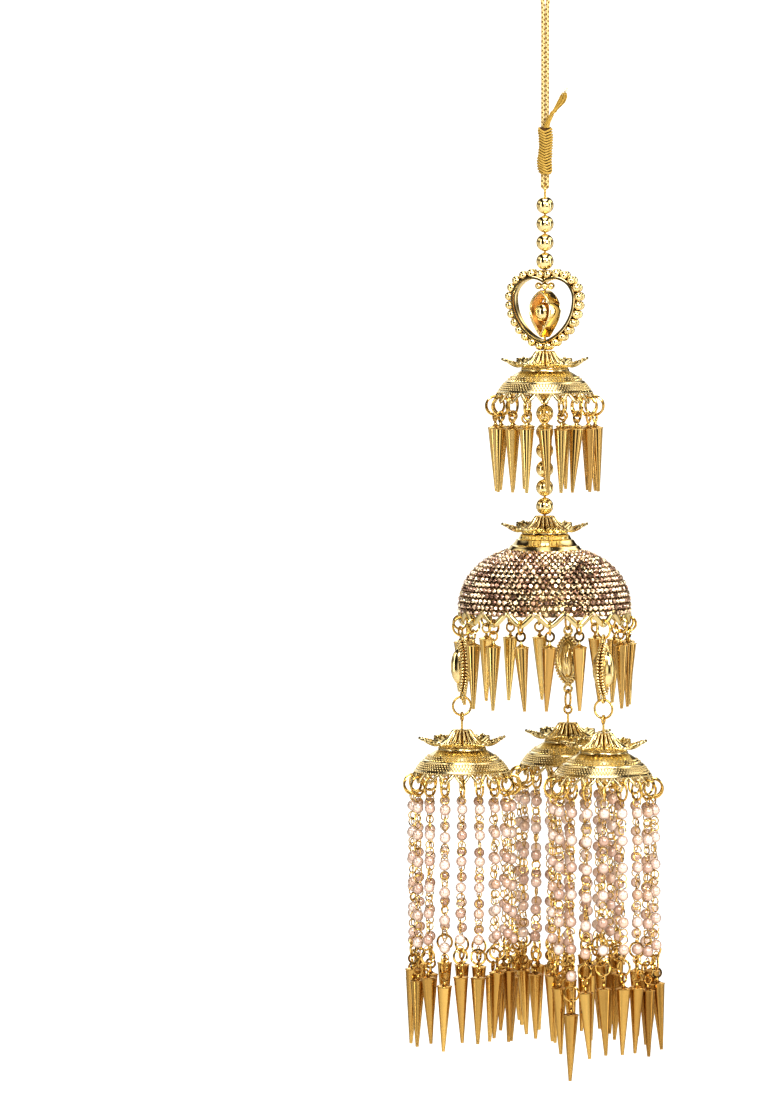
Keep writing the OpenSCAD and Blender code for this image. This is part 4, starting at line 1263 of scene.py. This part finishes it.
def make_drops():
    rng = random.Random(23)
    cone = cone_shape(LOW_CONE_LENGTH, CONE_R - 0.05)
    ring = upright_ring(RING_BIG, RING_WIRE, 24, 7, mat=1)
    low_ring = upright_ring(RING_LOW, RING_WIRE, 22, 7, mat=1)
    for body in DROPS:
        axis = np.array([*HINGES[body][:2], 0])
        hook_z = box_mm(body + "_bell")[0][2] + LACE_STRAP / 2
        units, rings, low_rings, cones = [], [], [], []
        for k in range(BELL_POINTS):
            theta = 360 * k / BELL_POINTS
            hook = out_point(theta, LACE_R, hook_z) + axis
            base = out_turn(theta) @ shake(rng, y=(-4, 2), z=14)
            up = base[:, 2]
            rings.append((base, hook + up * (HOOK_RISE + RING_WIRE - RING_BIG / 2)))
            seat = hook + up * (HOOK_RISE + 2 * RING_WIRE - RING_BIG + LINK_WIRE)
            spin = rng.uniform(0, 180)
            drift = [math.sin(math.radians(rng.uniform(-STRAND_LEAN, STRAND_LEAN))) for _ in range(2)]
            size = rng.uniform(*PEARL_SIZES)
            # The pearls at the front of the front drop are a little larger
            if body == "drop_b" and math.cos(math.radians(theta)) > 0.3:
                size = max(size, 1.03) + 0.02
            pearls, end = strand(seat, spin, drift, size, PEARL_COUNT + ((body, k) == LONG_STRAND), rng)
            units += pearls
            end = end + np.array([0, 0, 0.53])
            base = turn("z", spin + 45) @ shake(rng, y=3)
            up = base[:, 2]
            low_rings.append((base, end + up * (RING_WIRE / 2 - RING_LOW / 2 + RING_OVERLAP)))
            lean = turn("z", spin + 45) @ shake(rng, x=3.5, y=3.5)
            cones.append((lean, end + up * (-RING_LOW + 2.1 * RING_WIRE + LINK_WIRE)))
        shapes = [copies(s, units) for s in pearl_unit()] + [copies(ring, rings), copies(low_ring, low_rings)]
        piece(body + "_pearls", shapes, [PEARL, WIRE], body, [body + "_strands"])
        shapes = [copies(s, cones) for s in cone]
        piece(body + "_spikes", shapes, [LOW_CONE], body, [body + "_cones"])


# The plain wires of the source keep their shape and get the wire's material

def dress_wires():
    names = ["main_wire"] + [f"{drop}_{kind}" for drop in DROPS for kind in ("ring", "link", "pin")]
    for name in names:
        obj = frame["nodes"][name]
        obj.data.materials.clear()
        obj.data.materials.append(WIRE)


# Studio, in metres

FLOOR_Z = -0.75
FLOOR_R = 2.2
FLOOR_SIDES = 96
LIGHT_TARGET = (0, 0, -0.22)
WARM = (1, 0.97, 0.92)
EXPOSURE = 0.34
GAMMA = 0.76
# Brightness of the tent from below to above and from left to right: share of the way, level
TENT_HEIGHT = [(0.0, 0.05), (0.26, 0.08), (0.38, 0.95), (0.50, 1.05), (0.56, 0.30), (0.62, 0.35), (0.70, 1.2),
               (0.88, 1.3), (1.0, 0.3)]
TENT_SIDE = [(0.0, 0.5), (0.08, 1.0), (0.16, 0.02), (0.32, 0.05), (0.43, 1.2), (0.56, 1.3), (0.64, 0.04),
             (0.78, 0.05), (0.87, 1.6), (0.93, 0.5), (1.0, 0.3)]


def make_stage():
    n = Finish("pale_floor")
    n.set(Roughness=0.8)
    n.colour(n.mix(n.noise(per_mm=0.002), (0.88, 0.87, 0.86), (0.92, 0.91, 0.90)))
    angles = np.linspace(0, 2 * math.pi, FLOOR_SIDES, endpoint=False)
    verts = [[0, 0, FLOOR_Z]] + [[FLOOR_R * math.cos(a), FLOOR_R * math.sin(a), FLOOR_Z] for a in angles]
    faces = [[0, 1 + k, 1 + (k + 1) % FLOOR_SIDES] for k in range(FLOOR_SIDES)]
    mesh = bpy.data.meshes.new("floor")
    mesh.from_pydata(verts, [], faces)
    mesh.materials.append(n.material)
    floor = bpy.data.objects.new("floor", mesh)
    bpy.context.scene.collection.objects.link(floor)


def make_world():
    """White where the eye looks past the floor, dim and warm for what the metal mirrors."""
    world = bpy.data.worlds.new("studio")
    bpy.context.scene.world = world
    world.use_nodes = True
    n = Nodes(world.node_tree)
    split = n.add("ShaderNodeSeparateXYZ")
    n.link(n.add("ShaderNodeTexCoord").outputs["Generated"], split.inputs[0])
    tones = []
    for axis, stops in (("Z", TENT_HEIGHT), ("X", TENT_SIDE)):
        stops = [(place, (level + 0.01, level * 0.97 + 0.004, level * 0.90)) for place, level in stops]
        tones.append(n.ramp(n.between(split.outputs[axis], 0, 1, start=-1), stops))
    dim = n.tree.nodes["Background"]
    dim.inputs["Strength"].default_value = 1
    n.link(n.mix(1, *tones, blend="MULTIPLY"), dim.inputs["Color"])
    white = n.add("ShaderNodeBackground")
    white.inputs["Color"].default_value = (1, 1, 1, 1)
    choose = n.add("ShaderNodeMixShader")
    n.link(n.add("ShaderNodeLightPath").outputs["Is Camera Ray"], choose.inputs[0])
    n.link(dim.outputs[0], choose.inputs[1])
    n.link(white.outputs[0], choose.inputs[2])
    n.link(choose.outputs[0], n.tree.nodes["World Output"].inputs["Surface"])


def area_light(name, place, size, power, colour=(1, 1, 1)):
    data = bpy.data.lights.new(name, "AREA")
    data.shape = "RECTANGLE"
    data.size, data.size_y = size
    data.energy = power
    data.color = colour
    light = bpy.data.objects.new(name, data)
    x, y, z = np.array(LIGHT_TARGET) - np.array(place)
    light.location = place
    light.rotation_euler = (math.atan2(math.hypot(x, y), -z), 0, math.atan2(-x, y))
    bpy.context.scene.collection.objects.link(light)


def make_lights():
    area_light("key", (0.7, -1.35, 0.35), (0.5, 0.8), 11)
    area_light("front", (-0.3, -1.6, 0.75), (0.5, 0.5), 9)
    area_light("right", (1.5, -0.3, 0.0), (0.4, 1.8), 4, WARM)
    area_light("left", (-1.4, -0.9, 0.1), (0.22, 1.8), 4, WARM)
    area_light("top", (0.0, -0.2, 1.3), (1.1, 0.9), 7)
    area_light("back", (-0.6, 1.5, 0.3), (0.8, 1.6), 3)
    view = bpy.context.scene.view_settings
    view.view_transform = "Standard"
    view.exposure = EXPOSURE
    view.gamma = GAMMA


make_camera()
cord, cord_path, cord_length = make_cord()
whipping = make_whipping()
tail = make_tail()
bight = make_bight()
make_beads()
make_heart()
make_inner_drop()
make_flowers()
make_bells()
make_fringes()
make_stone_bell()
make_stepped_cap()
make_zigzag()
make_connectors()
make_drops()
dress_wires()
make_stage()
make_world()
make_lights()
